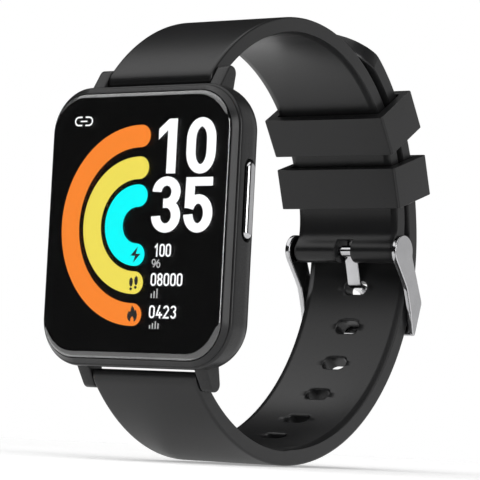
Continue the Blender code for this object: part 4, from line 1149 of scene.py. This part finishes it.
def make_icons():
    """The link mark in the corner, and the dark marks on the three rings."""
    x, z = LINK_CENTRE
    shapes = []
    for side in (-1, 1):
        half = oval((x + side * 1.02, z), (side * 0.72, 0.66), 90, -90)
        shapes.append(stroke([(x + side * 0.32, z + 0.66)] + half + [(x + side * 0.32, z - 0.66)], LINK_PEN))
    lit_piece("link_mark", "white", shapes + [stroke([(x - 0.7, z), (x + 0.7, z)], UNIT_PEN)])
    flash = [(0.42, -3.42), (-0.98, -4.86), (-0.06, -4.9), (-0.4, -5.98), (0.98, -4.58), (0.08, -4.55)]
    lit_piece("charge_mark", "mark", [plate(flash, MARK_DEPTH)])
    shapes = []
    for side in (-1, 1):
        lift = side * 0.12
        shapes.append(plate(oval((side * 0.5 - 0.08, lift - 8.95), (0.36, 0.72)), MARK_DEPTH))
        shapes.append(plate(oval((side * 0.46 - 0.12, lift - 10.02), (0.27, 0.24)), MARK_DEPTH))
    lit_piece("step_mark", "mark", shapes)
    flame = [(-0.12, -12.72), (0.28, -13.2), (0.42, -13.66), (0.66, -13.4), (0.98, -14.2), (0.9, -14.86),
             (0.52, -15.34), (0.3, -15.36), (0.4, -14.96), (0.02, -14.4), (-0.38, -14.98), (-0.26, -15.36),
             (-0.55, -15.3), (-0.98, -14.8), (-1.0, -14.2), (-0.66, -13.56), (-0.46, -13.9), (-0.3, -13.3)]
    lit_piece("energy_mark", "mark", [plate(even_loop(flame, 90, 3), MARK_DEPTH)])


# ---- pieces kept from the model

KEPT = {
    "seal": ("glass_gasket", "button_o_ring", "back_gasket"),
    "screen": ("display_panel",),
    "amber": ("display_flex",),
    "inner": ("inner_frame", "button_switch"),
    "board": ("main_board", "sensor_board"),
    "tin": ("shield_can", "motor_can", "charge_magnet_left", "charge_magnet_right"),
    "foil": ("battery",),
    "gold": ("antenna_strip",),
    "tungsten": ("motor_weight",),
    "led": ("green_led_upper", "green_led_lower"),
    "eye": ("photodiode_left", "photodiode_right"),
    "drawn": ["button_clip", "buckle_pin"] + [
        f"bar_{end}_{part}" for end in ("upper", "lower")
        for part in ("tube", "spring", "plunger_left", "plunger_right")],
}


def finish_kept_nodes():
    for finish, names in KEPT.items():
        for name in names:
            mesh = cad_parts[name].data
            mesh.materials.clear()
            mesh.materials.append(MATERIALS[finish])


# ---- studio

def make_camera():
    data = bpy.data.cameras.new("camera")
    data.lens = CAMERA_LENS
    data.sensor_width = 36.0
    data.clip_start = 0.01
    camera = link(bpy.data.objects.new("camera", data))
    camera.location = CAMERA_PLACE
    camera.rotation_euler = [math.radians(angle) for angle in CAMERA_TURN]
    bpy.context.scene.camera = camera


def make_world():
    """White backdrop to the camera; the watch sees a dim room with one broad reflector."""
    world = bpy.data.worlds.new("studio")
    world.use_nodes = True
    bpy.context.scene.world = world
    tree = world.node_tree
    place = add_node(tree, "TexCoord", {})
    toward = add_node(tree, "VectorMath", {0: place.outputs["Generated"], 1: REFLECTOR_DIRECTION},
                      operation="DOT_PRODUCT")
    edge = add_node(tree, "MapRange", {"Value": toward.outputs["Value"], "From Min": REFLECTOR_COSINES[0],
                                       "From Max": REFLECTOR_COSINES[1], "To Min": ROOM_STRENGTH,
                                       "To Max": REFLECTOR_STRENGTH}, interpolation_type="SMOOTHSTEP")
    white = (1.0, 1.0, 1.0, 1.0)
    room = tree.nodes["Background"]
    set_inputs(tree, room, {"Color": white, "Strength": edge.outputs["Result"]})
    backdrop = add_node(tree, "Background", {"Color": white})
    path = add_node(tree, "LightPath", {})
    mix = add_node(tree, "MixShader", {0: path.outputs["Is Camera Ray"], 1: room.outputs["Background"],
                                       2: backdrop.outputs["Background"]})
    set_inputs(tree, tree.nodes["World Output"], {"Surface": mix.outputs["Shader"]})


def make_floor():
    """Pale disc just below the watch; its faint glow keeps it white."""
    low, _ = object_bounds()
    work = bmesh.new()
    bmesh.ops.create_circle(work, cap_ends=True, segments=96, radius=FLOOR_RADIUS / MM)
    floor = as_object("studio_floor", work)
    floor.location.z = low.z - FLOOR_GAP
    made, shader = principled("studio_floor", (0.93, 0.93, 0.93), 0.9)
    tree = made.node_tree
    add_tint(tree, shader, object_noise(tree, 120.0, 2.0), (0.92, 0.92, 0.92), (0.94, 0.94, 0.94))
    set_inputs(tree, shader, {"Emission Color": (1.0, 1.0, 1.0, 1.0), "Emission Strength": FLOOR_GLOW})
    floor.data.materials.append(made)


def add_lamp(data, place, aim):
    lamp = link(bpy.data.objects.new(data.name, data))
    lamp.location = place
    lamp.rotation_euler = Vector(aim).to_track_quat("-Z", "Y").to_euler()


def make_lights():
    """One soft light from the right and a broad overhead sky."""
    side = bpy.data.lights.new("right", "AREA")
    side.shape = "RECTANGLE"
    side.size, side.size_y = SIDE_LIGHT_SIZE
    side.energy = SIDE_LIGHT_POWER
    add_lamp(side, SIDE_LIGHT_PLACE, Vector(SIDE_LIGHT_TARGET) - Vector(SIDE_LIGHT_PLACE))
    sky = bpy.data.lights.new("overhead", "SUN")
    sky.angle = math.radians(90)
    sky.energy = SKY_STRENGTH
    add_lamp(sky, (0.0, 0.0, 0.0), SKY_DIRECTION)


def main():
    make_case()
    make_bezel()
    make_glass()
    make_border()
    make_back()
    make_sensor_window()
    make_screws()
    make_contacts()
    make_button()
    make_upper_strap()
    make_lower_strap()
    make_keepers()
    make_buckle()
    make_tongue()
    make_arcs()
    make_clock()
    make_counters()
    make_icons()
    finish_kept_nodes()
    make_camera()
    make_world()
    make_floor()
    make_lights()
    bpy.context.scene.view_settings.view_transform = "Standard"


main()
